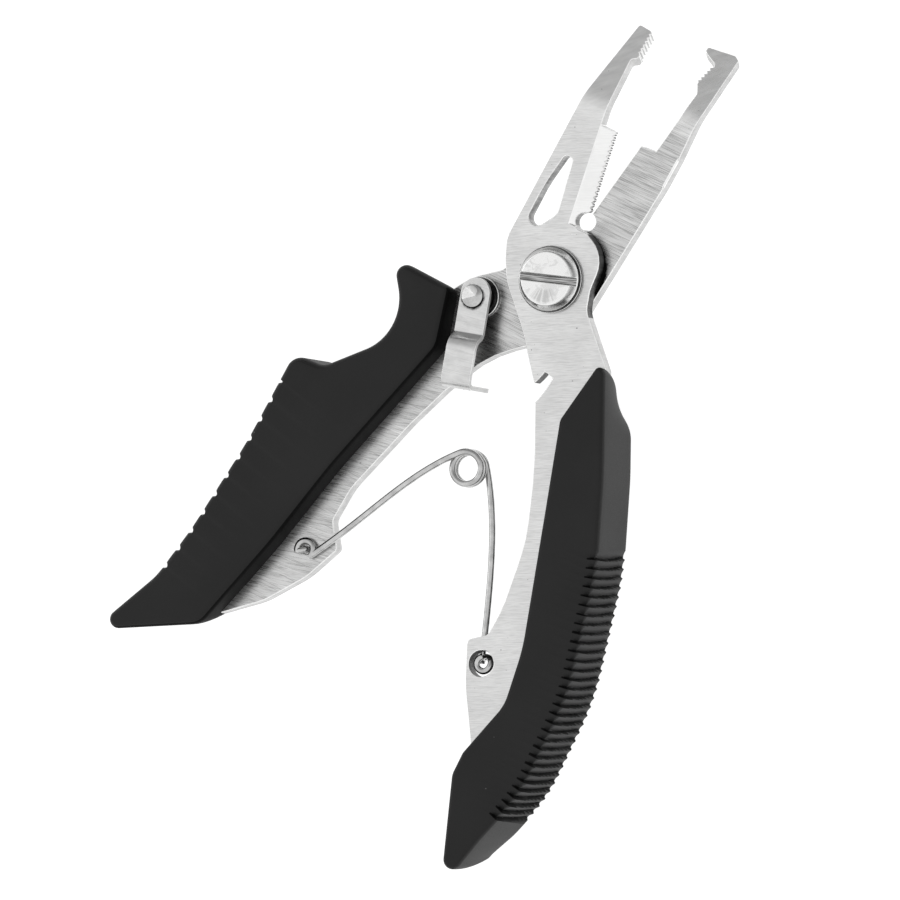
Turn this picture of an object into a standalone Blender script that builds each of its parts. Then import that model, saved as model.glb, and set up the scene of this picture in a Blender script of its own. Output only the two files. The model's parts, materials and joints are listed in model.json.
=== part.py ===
"""Compact fishing pliers lying flat on their grips, jaws open and pointing along +Y.

Lengths are in millimetres until add_object turns them into metres. Each half is drawn in its closed
position: the pivot axis is the local origin and the jaws meet along +Y. The parent empties front_half and
rear_half then turn the halves apart by half of the opening angle each. Heights are measured from the plane
between the two steel plates: the front plate is above it and the rear plate below it.
"""

import math

import bmesh
import bpy
from mathutils import Matrix, Vector
from mathutils.geometry import intersect_point_line, tessellate_polygon

METRES = 0.001

# Whole tool
OPENING = math.radians(16)
PIVOT_IN_WORLD = (0.97, 20.864, 7.35)
ARC_STEP = math.radians(12)

# Steel plates
PLATE = 2.3
PLATE_GAP = 0.1
FRONT_Z = (PLATE_GAP / 2, PLATE_GAP / 2 + PLATE)
REAR_Z = (-PLATE_GAP / 2 - PLATE, -PLATE_GAP / 2)
TIP_BEND = math.radians(26)
BEND_RADIUS = 7.0
BEND_STEPS = 6
FRONT_BEND_Y = 25.4
REAR_BEND_Y = FRONT_BEND_Y + (PLATE + PLATE_GAP) / math.tan(TIP_BEND)
# The rear jaw bends further out, so its flat pattern is shorter by this much for the same closed position.
PATTERN_SHIFT = (REAR_BEND_Y - FRONT_BEND_Y) * (1 / math.cos(TIP_BEND) - 1)
EDGE_CHAMFER = 0.2
PIVOT_BORE_RADIUS = 3.1
KEY_HOLE_RADIUS = 1.5

# Jaws
GRIP_LINE_X = -0.9
GRIP_TOOTH_PITCH = 0.66
GRIP_TOOTH_DEPTH = 0.36
GRIP_TOOTH_START_Y = 36.35
FRONT_GRIP_TEETH = 6
REAR_GRIP_TEETH = 5
JAW_CLEARANCE = 0.12
SAW_TOOTH_DEPTH = 0.34
SAW_TOOTH_COUNT = 15
SAW_TOP = (1.15, 23.8)
SAW_BOTTOM = (1.75, 11.75)
SAW_BEVEL_LINE = ((-1.15, 24.3), (-0.45, 8.6))
SAW_EDGE_LEFT = 0.9
GULLET_RADIUS = 1.4
FRONT_GULLET = (1.55, 9.85)
REAR_GULLET = (-1.55, 9.87)
FRONT_HUB_RADIUS = 8.85
REAR_HUB_RADIUS = 8.0

# Pivot hardware
SCREW_HEAD_RADIUS = 4.8
SCREW_FACE_RADIUS = 4.05
SCREW_HEAD_HEIGHT = 1.7
SCREW_RIM_HEIGHT = 0.45
SCREW_SHANK_RADIUS = 1.9
SCREW_SLOT_WIDTH = 1.25
SCREW_SLOT_DEPTH = 1.1
SCREW_SLOT_TURN = math.radians(14.3)
HEAD_WASHER_RADIUS = 5.1
HEAD_WASHER_HEIGHT = 0.5
BARREL_RADIUS = 3.0
BARREL_BORE_RADIUS = 2.0
BARREL_FLANGE_RADIUS = 5.0
BARREL_FLANGE_HEIGHT = 2.0
STACK_GAP = 0.05

# Lock lever, which hooks a tab into the notch in the front plate
RIVET = (-8.31, -9.3)
LEVER_WIDTH = 4.7
LEVER_SIDE = 0.35
LEVER_END = 0.5
LEVER_SHEET = 0.8
LEVER_BACK_Z = 2.7
LEVER_STEP_Y = 5.5
LEVER_STEP_RISE = 2.1
LEVER_STEP_ANGLE = math.radians(60)
LEVER_FIRST_RADIUS = 0.6
LEVER_SECOND_RADIUS = 1.9
LEVER_TAB_RADIUS = 1.1
LEVER_TAB_END_Z = -2.7
LEVER_HOLE_RADIUS = 1.05
LEVER_REST_ANGLE = math.radians(-62.3)
TAB_RADIUS = 13.7
NOTCH_MOUTH = (13.1, 15.5)
NOTCH_CLOSED_END = (13.2, 14.75)
NOTCH_INNER_MOUTH = math.radians(-28)
NOTCH_OUTER_MOUTH = math.radians(-34.5)
NOTCH_END = math.radians(-17.3)
RIVET_SHANK_RADIUS = 0.95
RIVET_HEAD_RADIUS = 1.7
RIVET_TAIL_RADIUS = 1.8
FLAT_WASHER_RADIUS = 3.15
FLAT_WASHER_HEIGHT = 0.7
SPLIT_WASHER_RADIUS = 2.4
SPLIT_WASHER_BORE = 1.2
SPLIT_WASHER_BAND = 1.1
SPLIT_WASHER_LIFT = 0.6

# Grips
GRIP_Z = (-7.35, 4.6)
GRIP_EDGE_ACROSS = 1.4
GRIP_EDGE_DOWN = 1.7
GRIP_EDGE_STEPS = 3
GRIP_LONGEST_STEP = 2.2
GRIP_CLEARANCE = 0.1
GROOVE_PITCH = 3.33
GROOVE_WIDTH = 0.95
GROOVE_DEPTH = 0.5
GROOVE_COUNT = 11
RIB_PITCH = 1.42
RIB_DEPTH = 0.55
RIB_COUNT = 31

# Torsion spring, in the open position
WIRE_RADIUS = 0.5
WIRE_SIDES = 10
COIL_AT = (1.53, -31.29)
COIL_RADIUS = 2.43
COIL_TURNS = 2.27
COIL_RISE = 2.6
COIL_SPLIT_GAP = math.radians(6)
RIGHT_LEG_LEAVES = math.radians(42)
FRONT_SPRING_HOLE = (11.0, -57.5)
REAR_SPRING_HOLE = (-7.69, -56.09)
FRONT_SPRING_HOLE_RADIUS = 2.0
REAR_SPRING_HOLE_RADIUS = 0.75
EYE_RADIUS = 1.3

# Plate outlines as corners (x, y, fillet radius). Going round each plate the jaw comes first, then the tang.
FRONT_JAW_LEFT = (
    (-1.4, 40.7, 0.2),
    (-3.45, 41.0, 0.4),
    (-5.9, 25.4, 25),
    (-9.15, 3.3, 4),
    (-8.15, 0.2, 4),
    (-6.6, -2.9, 5),
    (-1.5, -8.7, 10),
)
FRONT_TANG = (
    (8.1, -27.4, 40),
    (10.9, -38.0, 25),
    (11.1, -48.5, 12),
    (10.4, -53.1, 1.2),
    (7.5, -55.0, 0.9),
    (9.7, -61.3, 12),
    (15.6, -72.5, 2),
    (17.6, -80.3, 1.2),
    (19.9, -79.8, 1.5),
    (23.1, -67.0, 12),
    (23.2, -52.0, 30),
    (20.0, -30.0, 30),
    (14.3, -14.0, 8),
    (13.5, -9.7, 1.0),
    (7.1, -2.5, 3.5),
)
REAR_JAW_RIGHT = (
    (5.2, -6.0, 4),
    (6.85, -1.5, 3),
    (5.1, 23.5, 40),
    (1.45, 43.1, 0.4),
    (0.5, 43.4, 0.3),
    (-3.6, 41.8, 0.3),
    (-3.45, 41.05, 0.15),
    (-2.9, 40.8, 0.2),
    (-1.0, 40.35, 0.3),
)
REAR_JAW_INNER = (
    (-0.45, 35.9, 0.4),
    (0.35, 35.0, 1.0),
    (0.9, 31.0, 4),
    (0.9, 24.7, 0.2),
    (-1.55, 23.95, 0.15),
)
REAR_TANG = (
    (-8.05, -3.9, 2),
    (-11.5, -7.9, 8),
    (-13.6, -13.0, 6),
    (-12.9, -23.5, 10),
    (-18.9, -34.8, 8),
    (-20.9, -50.0, 60),
    (-20.6, -68.0, 20),
    (-20.8, -76.4, 1.8),
    (-13.2, -72.2, 1.5),
    (-8.6, -66.4, 10),
    (-5.2, -59.4, 10),
    (-3.7, -53.2, 0.9),
    (-7.0, -50.2, 1.8),
    (-7.6, -44.5, 10),
    (-5.3, -27.5, 60),
    (-2.3, -16.0, 20),
    (2.2, -10.6, 6),
)
FRONT_SLOT = (
    (-3.5, 18.15, 0.55),
    (-4.9, 18.15, 0.7),
    (-6.35, 13.0, 14),
    (-7.2, 6.7, 1.2),
    (-5.0, 6.6, 1.6),
    (-2.75, 9.4, 2.2),
)
FRONT_KEY_HOLES = ((16.9, -33.5), (20.2, -52.0), (19.2, -69.0))
REAR_KEY_HOLES = ((-11.1, -24.5), (-15.5, -44.0), (-16.0, -63.0))

# Grip outlines as corners, drawn at the widest height.
RIGHT_GRIP = (
    (9.9, -18.9, 2.2),
    (12.7, -8.8, 0.8),
    (14.1, -9.8, 1.2),
    (19.6, -24.0, 60),
    (24.1, -38.0, 40),
    (26.8, -57.0, 40),
    (25.2, -73.0, 25),
    (21.1, -82.3, 20),
    (18.0, -91.0, 1.5),
    (13.7, -74.4, 3),
    (14.0, -70.8, 1.5),
    (17.5, -61.8, 7),
    (17.1, -53.0, 30),
    (12.8, -32.5, 50),
)
LEFT_GRIP = (
    (-11.9, -10.3, 1.0),
    (-22.0, -12.4, 1.1),
    (-13.5, -20.1, 8),
    (-21.1, -31.9, 3),
    (-26.1, -33.3, 2.4),
    (-24.1, -48.5, 80),
    (-23.3, -64.0, 60),
    (-23.5, -73.0, 10),
    (-26.2, -84.4, 0.9),
    (-14.2, -74.9, 4),
    (-11.5, -58.0, 60),
    (-10.7, -43.0, 60),
    (-8.0, -18.6, 4),
)
GROOVES_START = (-25.1, -37.7)
RIBS_START = (22.9, -78.3)

STEEL = (0.62, 0.62, 0.61, 1.0)
POLISHED = (0.78, 0.78, 0.78, 1.0)
WIRE_STEEL = (0.55, 0.55, 0.54, 1.0)
RUBBER = (0.03, 0.03, 0.03, 1.0)


def clear_scene():
    for old in list(bpy.data.objects):
        bpy.data.objects.remove(old)


def make_material(name, color, metallic, roughness):
    material = bpy.data.materials.new(name)
    material.use_nodes = True
    shader = material.node_tree.nodes["Principled BSDF"]
    shader.inputs["Base Color"].default_value = color
    shader.inputs["Metallic"].default_value = metallic
    shader.inputs["Roughness"].default_value = roughness
    return material


def add_empty(name, parent, place=(0, 0, 0), turn=0.0):
    empty = bpy.data.objects.new(name, None)
    empty.location = Vector(place) * METRES
    empty.rotation_euler = (0, 0, turn)
    empty.parent = parent
    bpy.context.scene.collection.objects.link(empty)
    return empty


def add_object(name, shape, parent, material=None):
    """Link the bmesh as an object, smooth except across edges sharper than 30 degrees."""
    bmesh.ops.recalc_face_normals(shape, faces=shape.faces)
    bmesh.ops.scale(shape, verts=shape.verts, vec=(METRES, METRES, METRES))
    mesh = bpy.data.meshes.new(name)
    shape.to_mesh(mesh)
    shape.free()
    mesh.shade_smooth()
    mesh.set_sharp_from_angle(angle=math.radians(30))
    if material:
        mesh.materials.append(material)
    obj = bpy.data.objects.new(name, mesh)
    obj.parent = parent
    bpy.context.scene.collection.objects.link(obj)
    return obj


def cut(obj, cutter):
    cutter.hide_render = True
    cutter.display_type = "WIRE"
    modifier = obj.modifiers.new("cut_" + cutter.name, "BOOLEAN")
    modifier.operation = "DIFFERENCE"
    modifier.solver = "EXACT"
    modifier.object = cutter


def polar(center, radius, angle):
    return (center[0] + radius * math.cos(angle), center[1] + radius * math.sin(angle))


def arc(center, radius, start, end, step=ARC_STEP):
    count = max(2, math.ceil(abs(end - start) / step))
    return [polar(center, radius, start + (end - start) * i / count) for i in range(count + 1)]


def circle(center, radius, count=24):
    return [polar(center, radius, math.tau * i / count) for i in range(count)]


def fillet(before, corner, after, radius):
    """Points that replace one corner by an arc tangent to both of its sides."""
    corner = Vector(corner)
    into = (Vector(before) - corner).normalized()
    out = (Vector(after) - corner).normalized()
    half = into.angle(out) / 2
    back = radius / math.tan(half)
    center = corner + (into + out).normalized() * (radius / math.sin(half))
    start = corner + into * back - center
    sweep = (corner + out * back - center).angle_signed(start)
    count = max(1, math.ceil(abs(sweep) / ARC_STEP))
    return [tuple(center + Matrix.Rotation(sweep * i / count, 2) @ start) for i in range(count + 1)]


def rounded(corners, closed=True):
    """Points along a run of corners (x, y, radius). An open run keeps its first and last corner sharp."""
    places = [corner[:2] for corner in corners]
    points = []
    for i, (x, y, radius) in enumerate(corners):
        at_end = i in (0, len(corners) - 1)
        if at_end and not closed:
            points.append((x, y))
        else:
            after = places[(i + 1) % len(places)]
            points += fillet(places[i - 1], (x, y), after, radius)
    return points


def saw_edge(start, end, count, depth):
    """Zigzag from start to end. Each tooth has its gullet on the left-hand side of the way along."""
    start = Vector(start)
    pitch = (Vector(end) - start) / count
    side = Vector((-pitch.y, pitch.x)).normalized() * depth
    points = []
    for i in range(count):
        points.append(tuple(start + pitch * i))
        points.append(tuple(start + pitch * (i + 0.5) + side))
    points.append(tuple(start + pitch * count))
    return points


def prism(loops, bottom, top):
    """Closed body with the first loop as its outline and the others as holes."""
    flat = [point for loop in loops for point in loop]
    triangles = tessellate_polygon([[Vector((x, y, 0)) for x, y in loop] for loop in loops])
    shape = bmesh.new()
    below = [shape.verts.new((x, y, bottom)) for x, y in flat]
    above = [shape.verts.new((x, y, top)) for x, y in flat]
    for a, b, c in triangles:
        shape.faces.new((above[a], above[b], above[c]))
        shape.faces.new((below[c], below[b], below[a]))
    first = 0
    for loop in loops:
        for i in range(len(loop)):
            a = first + i
            b = first + (i + 1) % len(loop)
            shape.faces.new((below[a], below[b], above[b], above[a]))
        first += len(loop)
    bmesh.ops.recalc_face_normals(shape, faces=shape.faces)
    return shape


def fold(shape, bends, middle_z):
    """Bend a flat sheet about lines along X. Bends are (y where it starts on the flat sheet, angle, radius).

    They come nearest first, and a positive angle turns the rest of the sheet backwards (-Z).
    """
    for start_y, angle, radius in bends:
        for i in range(BEND_STEPS + 1):
            bmesh.ops.bisect_plane(
                shape,
                geom=shape.verts[:] + shape.edges[:] + shape.faces[:],
                plane_co=(0, start_y + radius * abs(angle) * i / BEND_STEPS, 0),
                plane_no=(0, 1, 0),
            )
    limits = [start_y for start_y, angle, radius in bends[1:]] + [math.inf]
    for vert in shape.verts:
        flat_y = vert.co.y
        y = min(flat_y, bends[0][0])
        z = middle_z
        heading = 0.0
        for (start_y, angle, radius), limit in zip(bends, limits):
            if flat_y <= start_y:
                break
            side = 1 if angle > 0 else -1
            before = heading
            heading += side * min((flat_y - start_y) / radius, abs(angle))
            straight = max(0.0, min(flat_y, limit) - start_y - radius * abs(angle))
            y += radius * side * (math.sin(heading) - math.sin(before)) + straight * math.cos(heading)
            z += radius * side * (math.cos(heading) - math.cos(before)) - straight * math.sin(heading)
        height = vert.co.z - middle_z
        vert.co.y = y + height * math.sin(heading)
        vert.co.z = z + height * math.cos(heading)


def turned(profile, segments=40, closed=False):
    """Body of revolution about Z from (radius, z) points. A closed profile makes a ring."""
    shape = bmesh.new()
    rings = []
    for radius, z in profile:
        if radius == 0:
            rings.append([shape.verts.new((0, 0, z))])
        else:
            rings.append([shape.verts.new((x, y, z)) for x, y in circle((0, 0), radius, segments)])
    pairs = list(zip(rings, rings[1:]))
    if closed:
        pairs.append((rings[-1], rings[0]))
    for low, high in pairs:
        for i in range(segments):
            j = (i + 1) % segments
            corners = [low[i % len(low)], low[j % len(low)], high[j % len(high)], high[i % len(high)]]
            shape.faces.new(dict.fromkeys(corners))
    return shape


def tube(path, radius, sides):
    """Round wire along a list of 3-D points, with closed ends."""
    shape = bmesh.new()
    path = [Vector(point) for point in path]
    across = (path[1] - path[0]).orthogonal().normalized()
    rings = []
    for i, point in enumerate(path):
        along = (path[min(i + 1, len(path) - 1)] - path[max(i - 1, 0)]).normalized()
        across = (across - along * across.dot(along)).normalized()
        other = along.cross(across)
        ring = []
        for side in range(sides):
            angle = math.tau * side / sides
            offset = across * math.cos(angle) + other * math.sin(angle)
            ring.append(shape.verts.new(point + offset * radius))
        rings.append(ring)
    for low, high in zip(rings, rings[1:]):
        for i in range(sides):
            j = (i + 1) % sides
            shape.faces.new((low[i], low[j], high[j], high[i]))
    shape.faces.new(rings[0])
    shape.faces.new(rings[-1])
    return shape


def box(low, high):
    shape = bmesh.new()
    bmesh.ops.create_cube(shape, size=1)
    for vert in shape.verts:
        for axis in range(3):
            vert.co[axis] = high[axis] if vert.co[axis] > 0 else low[axis]
    return shape


def screw_slot(name, parent, bottom, top):
    reach = SCREW_HEAD_RADIUS + 1
    half = SCREW_SLOT_WIDTH / 2
    shape = box((-reach, -half, bottom), (reach, half, top))
    bmesh.ops.rotate(shape, verts=shape.verts, matrix=Matrix.Rotation(SCREW_SLOT_TURN, 3, "Z"))
    return add_object(name, shape, parent)


# Plates


def grip_tooth_line(first_tooth, count, shift_x, shift_y):
    """The zigzag where the tips meet. Both jaws follow it, so that their teeth interlock when closed."""
    start = (GRIP_LINE_X + shift_x, GRIP_TOOTH_START_Y + GRIP_TOOTH_PITCH * first_tooth + shift_y)
    end = (start[0], start[1] + GRIP_TOOTH_PITCH * count)
    return saw_edge(start, end, count, GRIP_TOOTH_DEPTH)


def notch():
    """Arc-shaped notch for the lever's tab, from its inner mouth corner round to its outer one."""
    steps = 5
    near = []
    far = []
    for i in range(steps + 1):
        share = i / steps
        inner = NOTCH_INNER_MOUTH + (NOTCH_END - NOTCH_INNER_MOUTH) * share
        outer = NOTCH_OUTER_MOUTH + (NOTCH_END - NOTCH_OUTER_MOUTH) * share
        low, high = (mouth + (end - mouth) * share for mouth, end in zip(NOTCH_MOUTH, NOTCH_CLOSED_END))
        near.append(polar(RIVET, low, inner))
        far.append(polar(RIVET, high, outer))
    return near + far[::-1]


def front_tang_points():
    """From the notch's outer mouth corner down the handle, round the tang and up to the hub."""
    return rounded(((5.3, -20.2, 0),) + FRONT_TANG + ((6.5, 0.5, 0),), closed=False)


def rear_tang_points():
    """From the hub past the lock rivet, round the tang and back up the handle to the hub."""
    return rounded(((-7.8, -2.6, 0),) + REAR_TANG + ((3.6, -8.6, 0),), closed=False)


def front_outline():
    jaw_left = rounded(((GRIP_LINE_X, 40.31, 0),) + FRONT_JAW_LEFT + ((1.6, -13.1, 0),), closed=False)
    hub = rounded(((6.5, 1.6, 0), (6.7, 6.3, 5.0), (2.9, 8.35, 0)), closed=False)
    gullet = arc(FRONT_GULLET, GULLET_RADIUS, math.radians(-80), math.radians(-260))
    saw = saw_edge(SAW_BOTTOM, SAW_TOP, SAW_TOOTH_COUNT, SAW_TOOTH_DEPTH)
    shoulder = [(0.9, 24.15), (-1.15, 24.3)]
    throat = rounded(((-1.25, 26.0, 0), (-1.85, 35.2, 0.6), (-0.95, 35.75, 0.3), (-0.95, 36.3, 0)), closed=False)
    teeth = grip_tooth_line(0, FRONT_GRIP_TEETH, 0, 0)
    return jaw_left + notch() + front_tang_points() + hub + gullet + saw + shoulder + throat + teeth[:-1]


def rear_outline():
    jaw_right = rounded(REAR_JAW_RIGHT + ((GRIP_LINE_X + 0.2, 39.9, 0),), closed=False)
    teeth = grip_tooth_line(1, REAR_GRIP_TEETH, JAW_CLEARANCE, -PATTERN_SHIFT)[::-1]
    blade = rounded(((-0.75, 36.2, 0),) + REAR_JAW_INNER + ((-1.55, 12.0, 0),), closed=False)
    gullet = arc(REAR_GULLET, GULLET_RADIUS, math.radians(90), math.radians(-90))
    hub = arc((0, 0), REAR_HUB_RADIUS, math.radians(101), math.radians(190))
    return jaw_right + teeth + blade + gullet + hub + rear_tang_points()


def saw_bevel_cutter(parent):
    """Wedge that grinds the serrated blade thin, from the bevel line down to its toothed edge."""
    top = Vector(SAW_BEVEL_LINE[0])
    bottom = Vector(SAW_BEVEL_LINE[1])
    across = Vector((top.y - bottom.y, bottom.x - top.x)).normalized()
    width = (Vector(SAW_BOTTOM) - bottom).dot(across)
    slope = (PLATE - SAW_EDGE_LEFT) / width
    beyond = 6.0
    ring = [top + (top - bottom) * 0.02]
    ring += [Vector(p) for p in arc((0, 0), FRONT_HUB_RADIUS, math.radians(93), math.radians(60))]
    ring += [bottom + across * beyond, ring[0] + across * beyond]
    flat = [(point.x, point.y) for point in ring]
    shape = prism([flat], 0, 1)
    for vert in shape.verts:
        depth = (vert.co.xy - bottom).dot(across) * slope
        vert.co.z = FRONT_Z[1] + 1.0 if vert.co.z > 0.5 else FRONT_Z[1] - depth
    return add_object("saw_bevel_cutter", shape, parent)


def chamfer_rear_edge(shape):
    """Break the front corner of the rear jaw's outer side, from the hub up to the tip."""
    edges = []
    for edge in shape.edges:
        ends = [vert.co for vert in edge.verts]
        on_top = all(end.z > REAR_Z[1] - 0.01 and end.x > 1.5 and end.y > 6 for end in ends)
        wall = any(abs(face.normal.z) < 0.1 for face in edge.link_faces)
        if on_top and wall:
            edges.append(edge)
    bmesh.ops.bevel(shape, geom=edges, offset=EDGE_CHAMFER, segments=1, affect="EDGES")


def build_plates(front_half, rear_half, material):
    shape = prism(
        [
            front_outline(),
            circle((0, 0), PIVOT_BORE_RADIUS, 32),
            rounded(FRONT_SLOT),
            circle(FRONT_SPRING_HOLE, FRONT_SPRING_HOLE_RADIUS),
        ]
        + [circle(place, KEY_HOLE_RADIUS, 16) for place in FRONT_KEY_HOLES],
        *FRONT_Z,
    )
    fold(shape, ((FRONT_BEND_Y, TIP_BEND, BEND_RADIUS),), sum(FRONT_Z) / 2)
    front = add_object("front_plate", shape, front_half, material)
    cut(front, saw_bevel_cutter(front_half))

    shape = prism(
        [
            rear_outline(),
            circle((0, 0), PIVOT_BORE_RADIUS, 32),
            circle(RIVET, LEVER_HOLE_RADIUS, 16),
            circle(REAR_SPRING_HOLE, REAR_SPRING_HOLE_RADIUS, 16),
        ]
        + [circle(place, KEY_HOLE_RADIUS, 16) for place in REAR_KEY_HOLES],
        *REAR_Z,
    )
    chamfer_rear_edge(shape)
    fold(shape, ((REAR_BEND_Y, TIP_BEND, BEND_RADIUS),), sum(REAR_Z) / 2)
    add_object("rear_plate", shape, rear_half, material)


# Grips


def outward(points, i):
    """Unit normal at point i of an anticlockwise loop."""
    along = Vector(points[(i + 1) % len(points)]) - Vector(points[i - 1])
    return Vector((along.y, -along.x)).normalized()


def spaced(points, longest):
    """The same loop with long straight stretches divided."""
    result = []
    for i, point in enumerate(points):
        after = Vector(points[(i + 1) % len(points)])
        count = math.ceil((after - Vector(point)).length / longest)
        result += [tuple(Vector(point).lerp(after, k / count)) for k in range(count)]
    return result


def anticlockwise(points):
    area = sum(a[0] * b[1] - b[0] * a[1] for a, b in zip(points, points[1:] + points[:1]))
    return points if area > 0 else points[::-1]


def starting_near(points, start):
    """The same loop, beginning at its place nearest to start, which becomes a point of its own."""
    best = None
    for i, point in enumerate(points):
        near, share = intersect_point_line(Vector(start), Vector(point), Vector(points[(i + 1) % len(points)]))
        distance = (near - Vector(start)).length
        if 0 <= share < 1 and (best is None or distance < best[0]):
            best = (distance, i, near.to_tuple())
    distance, i, near = best
    return [near] + points[i + 1 :] + points[: i + 1]


def room_inside(points, i, normal):
    """Radius of the largest circle that touches the loop at point i from inside."""
    here = Vector(points[i])
    room = GRIP_EDGE_ACROSS
    for j, other in enumerate(points):
        gap = Vector(other) - here
        inward = -gap.dot(normal)
        if j != i and inward > 0:
            room = min(room, gap.length_squared / (2 * inward))
    return room


def grip_loop(corners, start, marks):
    """Anticlockwise outline with extra points and a relief depth at each mark past the start.

    Marks are (distance along the outline from the start, depth) in order.
    """
    points = starting_near(anticlockwise(spaced(rounded(corners), GRIP_LONGEST_STEP)), start)
    loop = []
    travelled = 0.0
    waiting = list(marks)
    last_mark = marks[-1][0]
    for i, point in enumerate(points):
        here = Vector(point)
        after = Vector(points[(i + 1) % len(points)])
        length = (after - here).length
        if travelled > last_mark:
            loop.append((point, 0.0))
        while waiting and waiting[0][0] <= travelled + length:
            distance, depth = waiting.pop(0)
            loop.append((tuple(here.lerp(after, (distance - travelled) / length)), depth))
        travelled += length
    return loop


def grip_body(loop):
    """Slab with rounded edges. The relief fades out where the edge rounds over to the flat faces."""
    points = [point for point, depth in loop]
    normals = [outward(points, i) for i in range(len(points))]
    rooms = [0.9 * room_inside(points, i, normals[i]) for i in range(len(points))]
    bottom, top = GRIP_Z
    levels = []
    for step in range(GRIP_EDGE_STEPS + 1):
        angle = math.pi / 2 * step / GRIP_EDGE_STEPS
        levels.append((1 - math.sin(angle), GRIP_EDGE_DOWN * (1 - math.cos(angle)), math.sin(angle)))
    rings = [(inset, bottom + rise, relief) for inset, rise, relief in levels]
    rings += [(inset, top - rise, relief) for inset, rise, relief in reversed(levels)]
    shape = bmesh.new()
    made = []
    for inset, z, relief in rings:
        ring = []
        for i, (point, depth) in enumerate(loop):
            place = Vector(point) - normals[i] * (rooms[i] * inset + depth * relief)
            ring.append(shape.verts.new((place.x, place.y, z)))
        made.append(ring)
    for low, high in zip(made, made[1:]):
        for i in range(len(loop)):
            j = (i + 1) % len(loop)
            shape.faces.new((low[i], low[j], high[j], high[i]))
    for ring in (made[0], made[-1]):
        for triangle in tessellate_polygon([[vert.co.copy() for vert in ring]]):
            shape.faces.new([ring[i] for i in triangle])
    return shape


def groove_marks():
    """Three points per V groove: its two rims and its root."""
    marks = []
    for i in range(GROOVE_COUNT):
        at = GROOVE_PITCH * i + GROOVE_WIDTH
        marks += [(at - GROOVE_WIDTH / 2, 0.0), (at, GROOVE_DEPTH), (at + GROOVE_WIDTH / 2, 0.0)]
    return marks


def rib_marks():
    """Rounded ribs: a valley between ribs, then the rib's two shoulders and its crest."""
    marks = []
    for i in range(RIB_COUNT):
        at = RIB_PITCH * i
        marks += [(at + RIB_PITCH * 0.05, RIB_DEPTH), (at + RIB_PITCH * 0.32, 0.08), (at + RIB_PITCH * 0.68, 0.08)]
    marks.append((RIB_PITCH * RIB_COUNT, 0.0))
    return marks


def tang_pocket(name, parent, points, z_range, key_holes):
    """Cutter for the room that the steel tang takes up, leaving plugs of rubber through its holes."""
    points = anticlockwise(points)
    grown = []
    for i, point in enumerate(points):
        place = Vector(point) + outward(points, i) * GRIP_CLEARANCE
        grown.append((place.x, place.y))
    plugs = [circle(place, KEY_HOLE_RADIUS - GRIP_CLEARANCE, 16) for place in key_holes]
    shape = prism([grown] + plugs, z_range[0] - GRIP_CLEARANCE, z_range[1] + GRIP_CLEARANCE)
    return add_object(name, shape, parent)


def build_grips(front_half, rear_half, material):
    loop = grip_loop(RIGHT_GRIP[::-1], RIBS_START, rib_marks())
    right = add_object("right_grip", grip_body(loop), front_half, material)
    pocket = tang_pocket("front_tang_pocket", front_half, front_tang_points(), FRONT_Z, FRONT_KEY_HOLES)
    cut(right, pocket)

    loop = grip_loop(LEFT_GRIP, GROOVES_START, groove_marks())
    left = add_object("left_grip", grip_body(loop), rear_half, material)
    pocket = tang_pocket("rear_tang_pocket", rear_half, rear_tang_points(), REAR_Z, REAR_KEY_HOLES)
    cut(left, pocket)


# Pivot hardware


def build_pivot(front_half, polished):
    washer_bottom = FRONT_Z[1] + STACK_GAP
    washer_top = washer_bottom + HEAD_WASHER_HEIGHT
    ring = [
        (BARREL_RADIUS + 0.15, washer_bottom),
        (HEAD_WASHER_RADIUS, washer_bottom),
        (HEAD_WASHER_RADIUS, washer_top),
        (BARREL_RADIUS + 0.15, washer_top),
    ]
    add_object("pivot_washer", turned(ring, closed=True), front_half, polished)

    head_bottom = washer_top + STACK_GAP
    head_top = head_bottom + SCREW_HEAD_HEIGHT
    screw_end = REAR_Z[0] - BARREL_FLANGE_HEIGHT + 0.9
    profile = [
        (0, screw_end),
        (SCREW_SHANK_RADIUS - 0.3, screw_end),
        (SCREW_SHANK_RADIUS, screw_end + 0.3),
        (SCREW_SHANK_RADIUS, head_bottom),
        (SCREW_HEAD_RADIUS, head_bottom),
        (SCREW_HEAD_RADIUS, head_bottom + SCREW_RIM_HEIGHT),
        (SCREW_FACE_RADIUS + 0.1, head_top - 0.15),
        (SCREW_FACE_RADIUS - 0.1, head_top),
        (0, head_top),
    ]
    screw = add_object("pivot_screw", turned(profile), front_half, polished)
    cut(screw, screw_slot("screw_slot_cutter", front_half, head_top - SCREW_SLOT_DEPTH, head_top + 1))

    flange_top = REAR_Z[0] - STACK_GAP
    flange_bottom = flange_top - BARREL_FLANGE_HEIGHT
    profile = [
        (0, flange_bottom),
        (BARREL_FLANGE_RADIUS - 0.4, flange_bottom),
        (BARREL_FLANGE_RADIUS, flange_bottom + 0.4),
        (BARREL_FLANGE_RADIUS, flange_top),
        (BARREL_RADIUS, flange_top),
        (BARREL_RADIUS, FRONT_Z[1]),
        (BARREL_BORE_RADIUS, FRONT_Z[1]),
        (BARREL_BORE_RADIUS, screw_end - 0.15),
        (0, screw_end - 0.15),
    ]
    barrel = add_object("pivot_barrel_nut", turned(profile), front_half, polished)
    slot_top = flange_bottom + 0.6
    cut(barrel, screw_slot("barrel_slot_cutter", front_half, flange_bottom - 1, slot_top))


# Lock lever


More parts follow.
